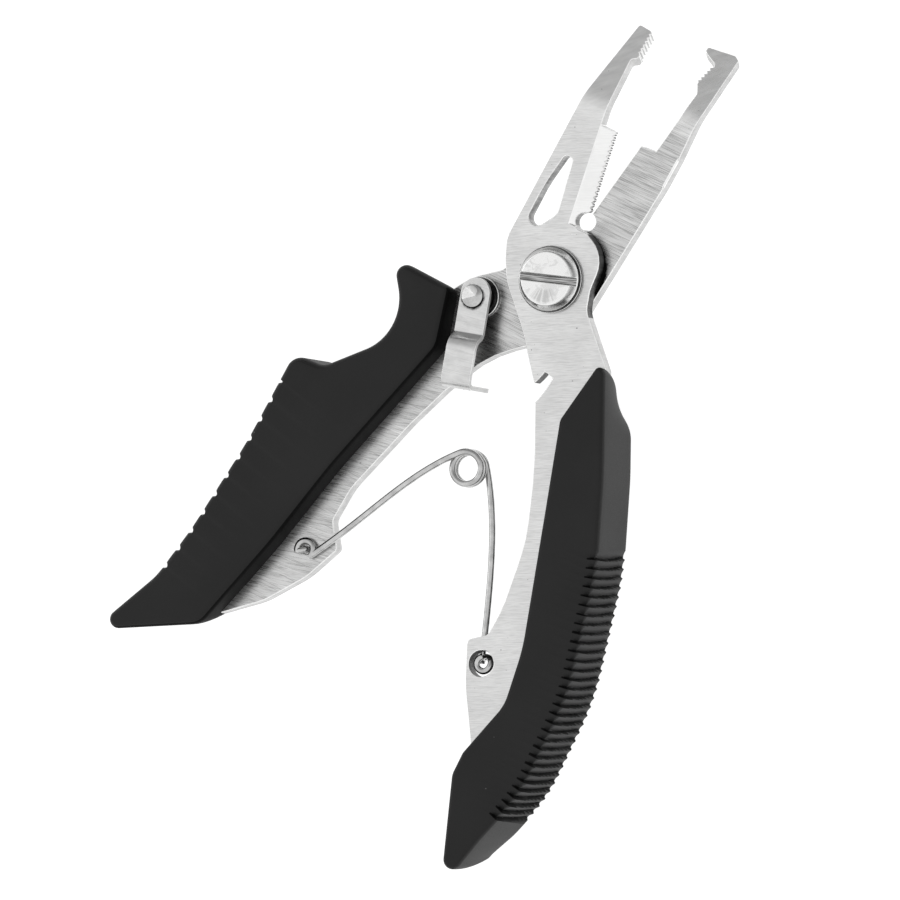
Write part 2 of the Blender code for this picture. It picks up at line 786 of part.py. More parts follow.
def lever_shape():
    half = LEVER_WIDTH / 2
    middle = LEVER_BACK_Z + LEVER_SHEET / 2
    bend = LEVER_STEP_ANGLE
    both_radii = LEVER_FIRST_RADIUS + LEVER_SECOND_RADIUS
    straight = (LEVER_STEP_RISE - both_radii * (1 - math.cos(bend))) / math.sin(bend)
    second_bend = LEVER_STEP_Y + LEVER_FIRST_RADIUS * bend + straight
    run = both_radii * math.sin(bend) + straight * math.cos(bend)
    step_end = second_bend + LEVER_SECOND_RADIUS * bend
    tab_bend = step_end + TAB_RADIUS - LEVER_TAB_RADIUS - (LEVER_STEP_Y + run)
    tab_drop = middle + LEVER_STEP_RISE - LEVER_TAB_RADIUS - LEVER_TAB_END_Z
    length = tab_bend + LEVER_TAB_RADIUS * math.pi / 2 + tab_drop
    left, right = -half - LEVER_SIDE, half - LEVER_SIDE
    outline = arc((-LEVER_SIDE, -LEVER_END), half, math.pi, math.tau)
    outline += rounded(((right, 0.5, 0), (right, length, 0.4), (left, length, 0.4), (left, 0.5, 0)), closed=False)
    shape = prism([outline, circle((0, 0), LEVER_HOLE_RADIUS, 20)], LEVER_BACK_Z, LEVER_BACK_Z + LEVER_SHEET)
    bends = (
        (LEVER_STEP_Y, -bend, LEVER_FIRST_RADIUS),
        (second_bend, bend, LEVER_SECOND_RADIUS),
        (tab_bend, math.pi / 2, LEVER_TAB_RADIUS),
    )
    fold(shape, bends, middle)
    return shape


def split_washer():
    """Helical ring of rectangular section, open at one place, like a spring lock washer."""
    shape = bmesh.new()
    bottom = REAR_Z[1] + STACK_GAP + FLAT_WASHER_HEIGHT + STACK_GAP
    steps = 28
    gap = math.radians(14)
    rings = []
    for i in range(steps + 1):
        share = i / steps
        angle = gap / 2 + (math.tau - gap) * share
        z = bottom + SPLIT_WASHER_LIFT * share
        section = []
        for radius, height in (
            (SPLIT_WASHER_BORE, 0),
            (SPLIT_WASHER_RADIUS, 0),
            (SPLIT_WASHER_RADIUS, SPLIT_WASHER_BAND),
            (SPLIT_WASHER_BORE, SPLIT_WASHER_BAND),
        ):
            x, y = polar((0, 0), radius, angle)
            section.append(shape.verts.new((x, y, z + height)))
        rings.append(section)
    for low, high in zip(rings, rings[1:]):
        for i in range(4):
            j = (i + 1) % 4
            shape.faces.new((low[i], low[j], high[j], high[i]))
    shape.faces.new(rings[0])
    shape.faces.new(rings[-1])
    return shape


def build_lock(rear_half, polished, material):
    rivet_place = (RIVET[0], RIVET[1], 0)
    at_rivet = add_empty("rivet_axis", rear_half, rivet_place, math.radians(80))
    washer_bottom = REAR_Z[1] + STACK_GAP
    ring = [
        (LEVER_HOLE_RADIUS + 0.1, washer_bottom),
        (FLAT_WASHER_RADIUS, washer_bottom),
        (FLAT_WASHER_RADIUS, washer_bottom + FLAT_WASHER_HEIGHT),
        (LEVER_HOLE_RADIUS + 0.1, washer_bottom + FLAT_WASHER_HEIGHT),
    ]
    add_object("latch_flat_washer", turned(ring, 32, closed=True), at_rivet, polished)
    add_object("latch_spring_washer", split_washer(), at_rivet, polished)

    head_bottom = LEVER_BACK_Z + LEVER_SHEET + STACK_GAP
    tail_top = REAR_Z[0] - STACK_GAP
    profile = [
        (0, tail_top - 0.6),
        (RIVET_TAIL_RADIUS - 0.5, tail_top - 0.6),
        (RIVET_TAIL_RADIUS, tail_top - 0.2),
        (RIVET_TAIL_RADIUS, tail_top),
        (RIVET_SHANK_RADIUS, tail_top),
        (RIVET_SHANK_RADIUS, head_bottom),
        (RIVET_HEAD_RADIUS, head_bottom),
        (RIVET_HEAD_RADIUS, head_bottom + 0.15),
        (RIVET_HEAD_RADIUS - 0.6, head_bottom + 0.6),
        (0, head_bottom + 0.75),
    ]
    add_object("latch_rivet", turned(profile, 28), at_rivet, polished)

    swing = add_empty("latch_swing", rear_half, rivet_place, LEVER_REST_ANGLE - math.pi / 2)
    add_object("latch_lever", lever_shape(), swing, material)


# Spring


def rotated(point, angle):
    cos, sin = math.cos(angle), math.sin(angle)
    return (point[0] * cos - point[1] * sin, point[0] * sin + point[1] * cos)


def ease(share):
    share = min(1.0, max(0.0, share))
    return share * share * (3 - 2 * share)


def leg_path(leave_angle, leave_z, eye, eye_z, eye_side, travel, bow):
    """Leg from the coil to the start of its eye. It leaves the coil in line with the wire.

    travel is +1 where the leg leaves the coil anticlockwise and -1 where it leaves clockwise. bow is how much
    of the first turn is repeated at the eye, and eye_side is +1 for an eye on the leg's left.
    """
    start = Vector(polar(COIL_AT, COIL_RADIUS, leave_angle))
    start_way = Vector(polar((0, 0), 1, leave_angle + travel * math.pi / 2))
    eye = Vector(eye)
    way = (eye - start).normalized()
    end_turn = start_way.angle_signed(way)
    end_way = Matrix.Rotation(-bow * end_turn, 2) @ way
    outside = Vector((end_way.y, -end_way.x)) * eye_side
    end = eye + outside * EYE_RADIUS
    reach = (end - start).length / 3
    first = start + start_way * reach
    second = end - end_way * reach
    steps = 14
    path = []
    for i in range(steps + 1):
        t = i / steps
        flat = start * (1 - t) ** 3 + first * 3 * t * (1 - t) ** 2 + second * 3 * t * t * (1 - t) + end * t**3
        z = leave_z + (eye_z - leave_z) * ease(t / 0.72)
        path.append((flat.x, flat.y, z))
    return path, math.atan2(outside.y, outside.x)


def eye_path(center, z, start_angle, sweep):
    return [(*polar(center, EYE_RADIUS, start_angle + sweep * i / 14), z) for i in range(1, 15)]


def coil_path(start_angle, turn, start_z, rise):
    steps = max(2, math.ceil(abs(turn) / math.radians(18)))
    return [
        (*polar(COIL_AT, COIL_RADIUS, start_angle + turn * i / steps), start_z + rise * i / steps)
        for i in range(1, steps + 1)
    ]


def build_spring(whole, material):
    """Right leg with the rear half of the coil, then left leg with the front half, split halfway round."""
    half_turn = math.pi * COIL_TURNS
    half_coil = half_turn - COIL_SPLIT_GAP / 2
    half_rise = COIL_RISE / 2 * half_coil / half_turn
    left_leaves = RIGHT_LEG_LEAVES + 2 * half_turn

    eye = rotated(FRONT_SPRING_HOLE, OPENING / 2)
    eye_z = FRONT_Z[0] - WIRE_RADIUS - 0.1
    leg, angle = leg_path(RIGHT_LEG_LEAVES, -COIL_RISE / 2, eye, eye_z, 1, -1, 0.8)
    hook_sweep = math.radians(-230)
    hook = eye_path(eye, eye_z, angle, hook_sweep)
    x, y = polar(eye, EYE_RADIUS, angle + hook_sweep - math.radians(22))
    pin = [(x, y, eye_z + 0.3), (x, y, eye_z + 1.2), (x, y, FRONT_Z[1] + 0.2)]
    path = pin[::-1] + hook[::-1] + leg[::-1]
    path += coil_path(RIGHT_LEG_LEAVES, half_coil, -COIL_RISE / 2, half_rise)
    right_axis = add_empty("spring_right_axis", whole, (*eye, 0))
    path = [(x - eye[0], y - eye[1], z) for x, y, z in path]
    add_object("spring_right_leg", tube(path, WIRE_RADIUS, WIRE_SIDES), right_axis, material)

    eye = rotated(REAR_SPRING_HOLE, -OPENING / 2)
    eye_z = REAR_Z[1] + WIRE_RADIUS + 0.1
    leg, angle = leg_path(left_leaves, COIL_RISE / 2, eye, eye_z, -1, 1, 0.15)
    hook = eye_path(eye, eye_z, angle, math.radians(250))
    inward = Vector(hook[-1][:2]) - Vector(eye)
    pin = [
        (eye[0] + inward.x * 0.45, eye[1] + inward.y * 0.45, eye_z - 0.02),
        (*eye, eye_z - 0.4),
        (*eye, eye_z - 1.0),
        (*eye, REAR_Z[0] - 0.2),
    ]
    path = pin[::-1] + hook[::-1] + leg[::-1]
    path += coil_path(left_leaves, -half_coil, COIL_RISE / 2, -half_rise)
    path = [(x - COIL_AT[0], y - COIL_AT[1], z) for x, y, z in path]
    left_axis = add_empty("spring_left_axis", whole, (*COIL_AT, 0))
    add_object("spring_left_leg", tube(path, WIRE_RADIUS, WIRE_SIDES), left_axis, material)


def main():
    clear_scene()
    steel = make_material("brushed_steel", STEEL, 1.0, 0.38)
    polished = make_material("polished_steel", POLISHED, 1.0, 0.15)
    wire = make_material("spring_wire", WIRE_STEEL, 1.0, 0.25)
    rubber = make_material("black_rubber", RUBBER, 0.0, 0.6)
    whole = add_empty("pliers", None, PIVOT_IN_WORLD)
    front_half = add_empty("front_half", whole, turn=OPENING / 2)
    rear_half = add_empty("rear_half", whole, turn=-OPENING / 2)
    build_plates(front_half, rear_half, steel)
    build_grips(front_half, rear_half, rubber)
    build_pivot(front_half, polished)
    build_lock(rear_half, polished, steel)
    build_spring(whole, wire)


main()
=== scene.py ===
"""Visual model of compact fishing pliers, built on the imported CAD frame.

Every shape is in millimetres until new_piece turns it into metres. Each half of the pliers has its
own axes: the origin is the pivot, half way between the two plates, and +Y is where the jaws meet
when they are closed. The front half is turned by half of the opening angle one way, and the rear
half by as much the other way. The lock lever, its rivet and its washers use the rear half's axes.
"""

import json
import math

import bmesh
import bpy
from mathutils import Matrix, Vector
from mathutils.geometry import tessellate_polygon


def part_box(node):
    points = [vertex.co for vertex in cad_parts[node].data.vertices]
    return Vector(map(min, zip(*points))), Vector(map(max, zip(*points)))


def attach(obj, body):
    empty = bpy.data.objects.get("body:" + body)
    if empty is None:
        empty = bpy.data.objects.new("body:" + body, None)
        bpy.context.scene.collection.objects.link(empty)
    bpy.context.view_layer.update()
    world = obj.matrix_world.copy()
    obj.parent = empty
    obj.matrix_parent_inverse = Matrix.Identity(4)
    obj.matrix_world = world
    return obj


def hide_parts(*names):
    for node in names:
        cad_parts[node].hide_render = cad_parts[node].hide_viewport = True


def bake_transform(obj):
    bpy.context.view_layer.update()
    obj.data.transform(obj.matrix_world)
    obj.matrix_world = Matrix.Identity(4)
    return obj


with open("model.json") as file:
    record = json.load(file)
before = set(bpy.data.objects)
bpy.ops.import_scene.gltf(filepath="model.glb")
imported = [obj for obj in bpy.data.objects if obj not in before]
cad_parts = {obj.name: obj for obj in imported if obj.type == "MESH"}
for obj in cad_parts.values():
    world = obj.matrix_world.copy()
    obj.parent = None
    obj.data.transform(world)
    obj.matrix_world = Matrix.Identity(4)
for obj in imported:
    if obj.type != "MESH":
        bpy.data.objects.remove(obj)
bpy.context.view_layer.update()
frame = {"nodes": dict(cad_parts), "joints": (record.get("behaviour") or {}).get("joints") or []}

MM = 0.001
joints = {joint["name"]: joint for joint in frame["joints"]}
OPENING = math.radians(joints["jaw_pivot"]["range_deg"][1])
PIVOT = Vector(joints["jaw_pivot"]["pos_m"])
FRONT_TURN = OPENING / 2
REAR_TURN = -OPENING / 2
FRONT_HALF = Matrix.Translation(PIVOT) @ Matrix.Rotation(FRONT_TURN, 4, "Z")
REAR_HALF = Matrix.Translation(PIVOT) @ Matrix.Rotation(REAR_TURN, 4, "Z")


def in_mm(point):
    """A point of the frame in millimetres from the pivot, without either half's turn."""
    return (Vector(point) - PIVOT) / MM


def box_in_mm(node):
    low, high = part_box(node)
    return in_mm(low), in_mm(high)


# Plates, in the axes of their own half. Past its bend a jaw is smooth instead of brushed.
FRONT_BEND_Y = 25.4
REAR_BEND_Y = 30.3
PLATE = 2.3
PLATE_GAP = 0.1
FRONT_SPRING_HOLE = (11.0, -57.5)
FRONT_SPRING_HOLE_REACH = 2.6  # past its radius
REAR_SPRING_HOLE = (-7.69, -56.09)

# Stretches of the front plate's cut edge, as (x from, x to, y from, y to). The teeth, the hub's
# side and the notch are painted nearly black as shade, and the root of the jaw a darker grey.
CUTTER_TEETH = (0.6, 2.5, 11.4, 24.5)
HUB_SIDE = (2.6, math.inf, -3.5, 9.5)
LOCK_NOTCH = (2.0, 6.5, -22.0, -10.0)
JAW_ROOT_LEFT = (-math.inf, 0.6, -2.0, 18.5)
JAW_ROOT_RIGHT = (2.6, math.inf, -2.0, 18.5)
SCREW_BORE_REACH = 3.5  # past its radius

# Widths of the broken edges, which catch the light. Their bright steel is a painted highlight.
PLATE_EDGE_BREAK = 0.13
SMALL_EDGE_BREAK = 0.07
WASHER_EDGE_BREAK = 0.14
RIVET_EDGE_BREAK = 0.03

# Pivot screw and rivet
SCREW_SLOT_TURN = math.radians(14.3)
SCREW_TOP = box_in_mm("pivot_screw")[1].z
RIVET_AT = in_mm(joints["latch_hinge"]["pos_m"])
RIVET_FACETS = 6
FACET_TILT = math.radians(13)

# Painted shadows: dark round patches on the steel where the hub shades the rear plate and the rivet
# head shades the lever, as (x, y, radius) from the pivot
HUB_PAINTED_SHADOW = (0.465, 2.33, 6.5)
RIVET_PAINTED_SHADOW = (RIVET_AT.x + 0.14, RIVET_AT.y - 0.12, 1.85)

# Spring wire. The right eye is a small hook inside its hole.
WIRE_RADIUS = 0.5
WIRE_SIDES = 16
COIL_AT = in_mm(joints["spring_coil"]["pos_m"])
FRONT_EYE_AT = in_mm(joints["spring_right_pin"]["pos_m"])
REAR_EYE_AT = Matrix.Rotation(REAR_TURN, 3, "Z") @ Vector((*REAR_SPRING_HOLE, 0))
COIL_RADIUS = 2.43
COIL_TURNS = 2.27
COIL_RISE = 2.6
COIL_STEPS = 110
RIGHT_LEG_LEAVES = math.radians(42)
LEG_STEPS = 40
HOOK_RADIUS = 1.1
HOOK_SWEEP = math.radians(-440)
HOOK_RISE = 1.9
EYE_RADIUS = 1.3
EYE_SWEEP = math.radians(250)
EYE_STEPS = 44
EYE_CLEARANCE = 0.1
PIN_PAST_PLATE = 0.2

# Grips, as corners (x, y, fillet radius) in the axes of their own half
GRIP_TOP = box_in_mm("right_grip")[1].z
GRIP_BOTTOM = box_in_mm("right_grip")[0].z
RIGHT_GRIP = (
    (9.9, -18.9, 2.2),
    (12.7, -8.8, 0.8),
    (14.1, -9.8, 1.2),
    (19.6, -24.0, 60),
    (24.1, -38.0, 40),
    (26.8, -57.0, 40),
    (25.2, -73.0, 25),
    (21.3, -82.3, 20),
    (20.0, -86.0, 6),
    (18.3, -91.6, 1.5),
    (13.5, -74.4, 3),
    (13.9, -70.8, 1.5),
    (17.5, -61.8, 7),
    (17.1, -53.0, 30),
    (12.8, -32.5, 50),
)
LEFT_GRIP = (
    (-11.9, -10.3, 1.0),
    (-22.2, -12.2, 1.6),
    (-13.5, -20.1, 8),
    (-21.1, -31.9, 3),
    (-26.1, -33.3, 2.4),
    (-24.1, -48.5, 80),
    (-23.3, -64.0, 60),
    (-23.5, -73.0, 10),
    (-26.9, -85.8, 1.4),
    (-13.2, -74.5, 3.5),
    (-11.5, -58.0, 60),
    (-10.7, -43.0, 60),
    (-8.0, -18.6, 4),
)
# The ends where a grip's back is shorter than its front, as (outward way, how far out the end is,
# how far in the shift starts, shift of the back's end)
RIGHT_ENDS = (
    ((0.2, -0.98), 90.3, 8.0, (-0.2, 2.2)),
    ((0.3, 0.954), -4.6, 8.0, (-1.3, -4.3)),
)
LEFT_ENDS = (
    ((0.636, -0.771), 49.0, 8.0, (0.0, 5.2)),
    ((-0.181, 0.983), -8.0, 7.0, (0.6, -3.4)),
)
# Radius of the rounded edges
RIGHT_GRIP_EDGE = 0.8
LEFT_GRIP_EDGE = 1.1
# Mesh: spacing along the outline, rings round an edge, down the wall and over the face, neighbours
# that a normal is averaged over, and the limit of an edge's inset
GRIP_STEP = 0.13
EDGE_STEPS = 8
WALL_STEPS = 8
REACH_STEPS = 5
NORMAL_REACH = 4
ROOM_MAX = 4.0

# Ribs of the right grip. RIB_STEP is the share of the pitch that a rib's steep side takes.
RIBS_START = (22.9, -78.3)
RIB_PITCH = 1.42
RIB_COUNT = 31
RIB_DEPTH = 0.7
RIB_STEP = 0.2
RIB_REACH = 1.6

# V grooves of the left grip
GROOVES_START = (-25.1, -37.7)
GROOVE_PITCH = 3.33
GROOVE_COUNT = 11
GROOVE_WIDTH = 1.05
GROOVE_DEPTH = 0.55

# Course of the ribs and grooves down the wall: the sag at half height, and the slant to the back
PATTERN_SAG = 0.22
PATTERN_SLANT = 0.8

# Studio and camera, in metres
FLOOR_SIZE = 8.0
FLOOR_BELOW = 0.0002
LAMP_AT = (-1.0, -0.35, 0.4)
LAMP_SIZE = 0.6
CAMERA_RIGHT = (0.8028, 0.4635, -0.3750)
CAMERA_TOWARD = (0.3573, 0.1312, 0.9247)
CAMERA_DISTANCE = 4.5
VIEW_WIDTH = 0.135
# Centre of the view, in millimetres from the pivot
VIEW_CENTER_RIGHT = -16.05
VIEW_CENTER_UP = -25.425


# Shapes


def new_piece(name, shape, body, place, look, sharp=30):
    """Link the bmesh as a piece that rides on a body, if one is given.

    place is the matrix of its half, or the pivot's. look maps the names of the piece's parts to
    their materials, in the order of its material slots.
    """
    bmesh.ops.recalc_face_normals(shape, faces=shape.faces)
    bmesh.ops.scale(shape, verts=shape.verts, vec=(MM, MM, MM))
    mesh = bpy.data.meshes.new(name)
    shape.to_mesh(mesh)
    shape.free()
    mesh.shade_smooth()
    mesh.set_sharp_from_angle(angle=math.radians(sharp))
    for material in look.values():
        mesh.materials.append(material)
    mesh.transform(place)
    obj = bpy.data.objects.new(name, mesh)
    bpy.context.scene.collection.objects.link(obj)
    if body:
        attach(obj, body)
    return obj


def polar(center, radius, angle):
    return (center[0] + radius * math.cos(angle), center[1] + radius * math.sin(angle))


def ease(share):
    share = min(1.0, max(0.0, share))
    return share * share * (3 - 2 * share)


def fillet(before, corner, after, radius, step):
    """Points that replace one corner by an arc tangent to both of its sides."""
    corner = Vector(corner)
    into = (Vector(before) - corner).normalized()
    out = (Vector(after) - corner).normalized()
    half = into.angle(out) / 2
    back = radius / math.tan(half)
    center = corner + (into + out).normalized() * (radius / math.sin(half))
    start = corner + into * back - center
    sweep = (corner + out * back - center).angle_signed(start)
    count = max(1, math.ceil(abs(sweep) * radius / step))
    return [center + Matrix.Rotation(sweep * i / count, 2) @ start for i in range(count + 1)]


def outline(corners, step):
    """Closed anticlockwise loop through the rounded corners, and the even spacing of its points."""
    rough = []
    for i, (x, y, radius) in enumerate(corners):
        after = corners[(i + 1) % len(corners)][:2]
        rough += fillet(corners[i - 1][:2], (x, y), after, radius, step)
    area = sum(a.x * b.y - b.x * a.y for a, b in zip(rough, rough[1:] + rough[:1]))
    if area < 0:
        rough.reverse()
    lengths = [(b - a).length for a, b in zip(rough, rough[1:] + rough[:1])]
    count = round(sum(lengths) / step)
    spacing = sum(lengths) / count
    points = []
    travelled = 0.0
    for a, b, length in zip(rough, rough[1:] + rough[:1], lengths):
        while len(points) < count and len(points) * spacing <= travelled + length:
            points.append(a.lerp(b, (len(points) * spacing - travelled) / max(length, 1e-9)))
        travelled += length
    return points, spacing


def cad_shape(node, half):
    """The node's shape with its flat faces made whole, in millimetres in the axes of a half."""
    shape = bmesh.new()
    shape.from_mesh(frame["nodes"][node].data)
    bmesh.ops.remove_doubles(shape, verts=shape.verts, dist=1e-6)
    flat = math.radians(0.5)
    bmesh.ops.dissolve_limit(shape, angle_limit=flat, verts=shape.verts, edges=shape.edges)
    shape.transform(Matrix.Scale(1 / MM, 4) @ half.inverted())
    shape.normal_update()
    return shape


def break_edges(obj, width, material):
    """Narrow rounding of the sharp edges, in the material of a slot, or -1 for the faces' own."""
    modifier = obj.modifiers.new("broken_edges", "BEVEL")
    modifier.width = width * MM
    modifier.segments = 2
    modifier.limit_method = "ANGLE"
    modifier.angle_limit = math.radians(28)
    modifier.use_clamp_overlap = False
    modifier.harden_normals = True
    modifier.material = material


# Materials


class Shader:
    """Small helper to wire a Principled material. Places are in metres, like the frame."""

    def __init__(self, name):
        self.material = bpy.data.materials.new(name)
        self.material.use_nodes = True
        self.nodes = self.material.node_tree.nodes
        self.links = self.material.node_tree.links
        self.shader = self.nodes["Principled BSDF"]
        self.place = self.add("ShaderNodeTexCoord").outputs["Object"]

    def add(self, kind, **settings):
        node = self.nodes.new(kind)
        for key, value in settings.items():
            setattr(node, key, value)
        return node

    def link(self, start, end):
        self.links.new(start, end)

    def wire(self, value, socket):
        """Link a socket's value, or set a plain one."""
        if isinstance(value, bpy.types.NodeSocket):
            self.link(value, socket)
        else:
            socket.default_value = value

    def math(self, operation, a, b=0.0):
        node = self.add("ShaderNodeMath", operation=operation)
        self.wire(a, node.inputs[0])
        self.wire(b, node.inputs[1])
        return node.outputs[0]

    def product(self, first, *others):
        for other in others:
            first = self.math("MULTIPLY", first, other)
        return first

    def noise(self, turn, size, detail=3.0, roughness=0.55, distortion=0.0, offset=(0, 0, 0)):
        """Noise whose grains are size (x, y, z) millimetres, in axes turned by turn about Z."""
        mapping = self.add("ShaderNodeMapping", vector_type="POINT")
        self.link(self.place, mapping.inputs["Vector"])
        mapping.inputs["Rotation"].default_value = (0, 0, -turn)
        mapping.inputs["Location"].default_value = offset
        scaled = self.add("ShaderNodeVectorMath", operation="MULTIPLY")
        self.link(mapping.outputs[0], scaled.inputs[0])
        scaled.inputs[1].default_value = tuple(1 / (axis * MM) for axis in size)
        texture = self.add("ShaderNodeTexNoise")
        texture.inputs["Scale"].default_value = 1.0
        texture.inputs["Detail"].default_value = detail
        texture.inputs["Roughness"].default_value = roughness
        texture.inputs["Distortion"].default_value = distortion
        self.link(scaled.outputs[0], texture.inputs["Vector"])
        return texture.outputs["Fac"]

    def spread(self, value, low, high, to_low=0.0, to_high=1.0):
        """Map a value from low..high to to_low..to_high, held at the ends."""
        node = self.add("ShaderNodeMapRange")
        node.clamp = True
        self.wire(value, node.inputs["Value"])
        node.inputs["From Min"].default_value = low
        node.inputs["From Max"].default_value = high
        node.inputs["To Min"].default_value = to_low
        node.inputs["To Max"].default_value = to_high
        return node.outputs["Result"]

    def mix(self, share, low, high):
        """Mix two values. A Mix node keeps its value sockets at 2 and 3."""
        node = self.add("ShaderNodeMix", data_type="FLOAT")
        self.wire(share, node.inputs[0])
        self.wire(low, node.inputs[2])
        self.wire(high, node.inputs[3])
        return node.outputs[0]

    def blend(self, share, low, high):
        """Mix two colours. A Mix node keeps its colour sockets at 6 and 7."""
        node = self.add("ShaderNodeMix", data_type="RGBA")
        self.wire(share, node.inputs[0])
        self.wire(low, node.inputs[6])
        self.wire(high, node.inputs[7])
        return node.outputs[2]

    def along(self, way):
        """Distance from the pivot along a horizontal direction."""
        moved = self.add("ShaderNodeVectorMath", operation="SUBTRACT")
        self.link(self.place, moved.inputs[0])
        moved.inputs[1].default_value = PIVOT
        dot = self.add("ShaderNodeVectorMath", operation="DOT_PRODUCT")
        self.link(moved.outputs[0], dot.inputs[0])
        dot.inputs[1].default_value = (*way, 0)
        return dot.outputs["Value"]

    def away_from(self, x, y):
        """Horizontal distance from a point, which is in millimetres from the pivot."""
        dx = self.math("SUBTRACT", self.along((1, 0)), x * MM)
        dy = self.math("SUBTRACT", self.along((0, 1)), y * MM)
        squares = self.math("ADD", self.product(dx, dx), self.product(dy, dy))
        return self.math("SQRT", squares)

    def bump(self, height, strength, distance):
        node = self.add("ShaderNodeBump")
        node.inputs["Strength"].default_value = strength
        node.inputs["Distance"].default_value = distance * MM
        self.link(height, node.inputs["Height"])
        self.link(node.outputs[0], self.shader.inputs["Normal"])

    def finish(self, color, roughness, metallic=0.0):
        self.wire(color, self.shader.inputs["Base Color"])
        self.wire(roughness, self.shader.inputs["Roughness"])
        self.shader.inputs["Metallic"].default_value = metallic
        return self.material


def grey(value):
    """A neutral colour, very slightly warm."""
    return (value, value, value * 0.995, 1.0)


def brush_lines(shader, turns, grain):
    """Fine lines and broader bands along turns[0], and along turns[1] well behind the pivot."""
    parts = []
    for i, turn in enumerate(turns):
        lines = shader.noise(turn, grain, 3, 0.65, distortion=0.15, offset=(0.1 * i, 0, 0))
        bands = shader.noise(turn, (14, 1.1, 9), 2, 0.6, offset=(0.013, 0.004 + 0.1 * i, 0))
        parts.append(shader.mix(0.2, lines, bands))
    if len(parts) == 1:
        return parts[0]
    behind = shader.spread(shader.along((0, 1)), -13 * MM, -19 * MM)
    return shader.mix(behind, *parts)


def scratched(shader, color, turn, dark, amount):
    """Add sparse long scratches, bright ones and dark ones, almost along the brush lines."""
    bright_lines = shader.noise(turn + 0.06, (9, 0.11, 3), detail=0, offset=(0.7, 0.2, 0))
    color = shader.blend(shader.spread(bright_lines, 0.69, 0.75, 0, amount), color, grey(0.97))
    dark_lines = shader.noise(turn - 0.03, (7, 0.12, 3), detail=0, offset=(0.3, 0.9, 0))
    return shader.blend(shader.spread(dark_lines, 0.68, 0.76, 0, amount), color, grey(dark * 0.6))


def smooth_tip(shader, color, height, tip):
    """Fade the colour and the relief into a smooth tip, which starts at the bend of the jaw."""
    half_turn, bend, tone = tip
    way = (-math.sin(half_turn), math.cos(half_turn))
    fade = shader.spread(shader.along(way), (bend - 1.0) * MM, (bend + 2.2) * MM)
    streaks = shader.noise(0.9, (3, 0.8, 3), detail=4, offset=(0.3, 0, 0))
    smooth = shader.blend(shader.spread(streaks, 0.3, 0.7), grey(tone * 0.9), grey(tone * 1.07))
    flat = shader.math("SUBTRACT", 1.0, shader.product(fade, 0.9))
    return shader.blend(fade, color, smooth), shader.product(height, flat)


def add_painted_shadow(shader, color, mark):
    """Add a painted shadow: a dark round patch with a ragged edge."""
    x, y, radius = mark
    ragged = shader.noise(0, (0.5, 0.5, 0.5), detail=3)
    edge = shader.math("ADD", shader.away_from(x, y), shader.product(ragged, 0.5 * MM))
    inside = shader.spread(edge, (radius + 0.45) * MM, (radius + 0.1) * MM)
    return shader.blend(inside, color, grey(0.01))


def brushed_steel(
    name, turns, tones, roughness, grain, spreads=(0.36, 0.6), tip=None, mark=None, scratches=0.0
):
    """Brushed sheet steel with clouds, specks and scratches.

    turns are the ways of the brush lines, see brush_lines, and grain is the size of one line in mm.
    tones are its dark and light grey, and spreads the values of the lines that give them.
    tip is (half's turn, bend, tone): past the bend on the half's +Y it is smooth, in its own tone.
    mark is a painted shadow, (x, y, radius) in millimetres from the pivot, and scratches is how
    strong they are.
    """
    shader = Shader(name)
    dark, light = tones
    brush = brush_lines(shader, turns, grain)
    color = shader.blend(shader.spread(brush, *spreads), grey(dark), grey(light))
    if scratches:
        color = scratched(shader, color, turns[0], dark, scratches)
    clouds = shader.noise(0, (7, 7, 7), detail=3)
    color = shader.blend(shader.spread(clouds, 0.35, 0.65, 0.25, 0.0), color, grey(dark * 0.8))
    height = brush
    if tip:
        color, height = smooth_tip(shader, color, height, tip)
    if mark:
        color = add_painted_shadow(shader, color, mark)
    specks = shader.noise(0, (0.45, 0.45, 0.45), detail=1)
    color = shader.blend(shader.spread(specks, 0.78, 0.82, 0, 0.75), color, grey(0.08))
    shader.bump(height, 0.3, 0.025)
    rough = shader.spread(brush, 0.3, 0.7, roughness - 0.05, roughness + 0.07)
    return shader.finish(color, rough, metallic=1.0)


def side_steel(name, dark, light, roughness=0.4):
    """Cut edge of a sheet, with faint streaks across its thickness."""
    shader = Shader(name)
    streaks = shader.noise(0, (0.35, 0.35, 4), detail=3, roughness=0.6)
    spots = shader.noise(0, (2.5, 2.5, 1.5), detail=3)
    mixed = shader.mix(0.6, streaks, spots)
    color = shader.blend(shader.spread(mixed, 0.35, 0.65), grey(dark), grey(light))
    shader.bump(mixed, 0.15, 0.03)
    rough = shader.spread(mixed, 0.3, 0.7, roughness + 0.05, roughness - 0.05)
    return shader.finish(color, rough, metallic=1.0)


def polished_steel(name, tone, roughness):
    """Polished steel with cloudy handling marks and hair-fine scratches."""
    shader = Shader(name)
    clouds = shader.noise(0, (1.5, 1.5, 1.5), detail=3, roughness=0.55)
    scratches = shader.noise(0.6, (3, 0.12, 1), detail=3, roughness=0.6)
    color = shader.blend(shader.spread(clouds, 0.46, 0.6), grey(tone * 0.86), grey(tone))
    shader.bump(shader.mix(0.2, clouds, scratches), 0.3, 0.06)
    rough = shader.spread(clouds, 0.35, 0.65, roughness * 0.8, roughness * 1.4)
    return shader.finish(color, rough, metallic=1.0)


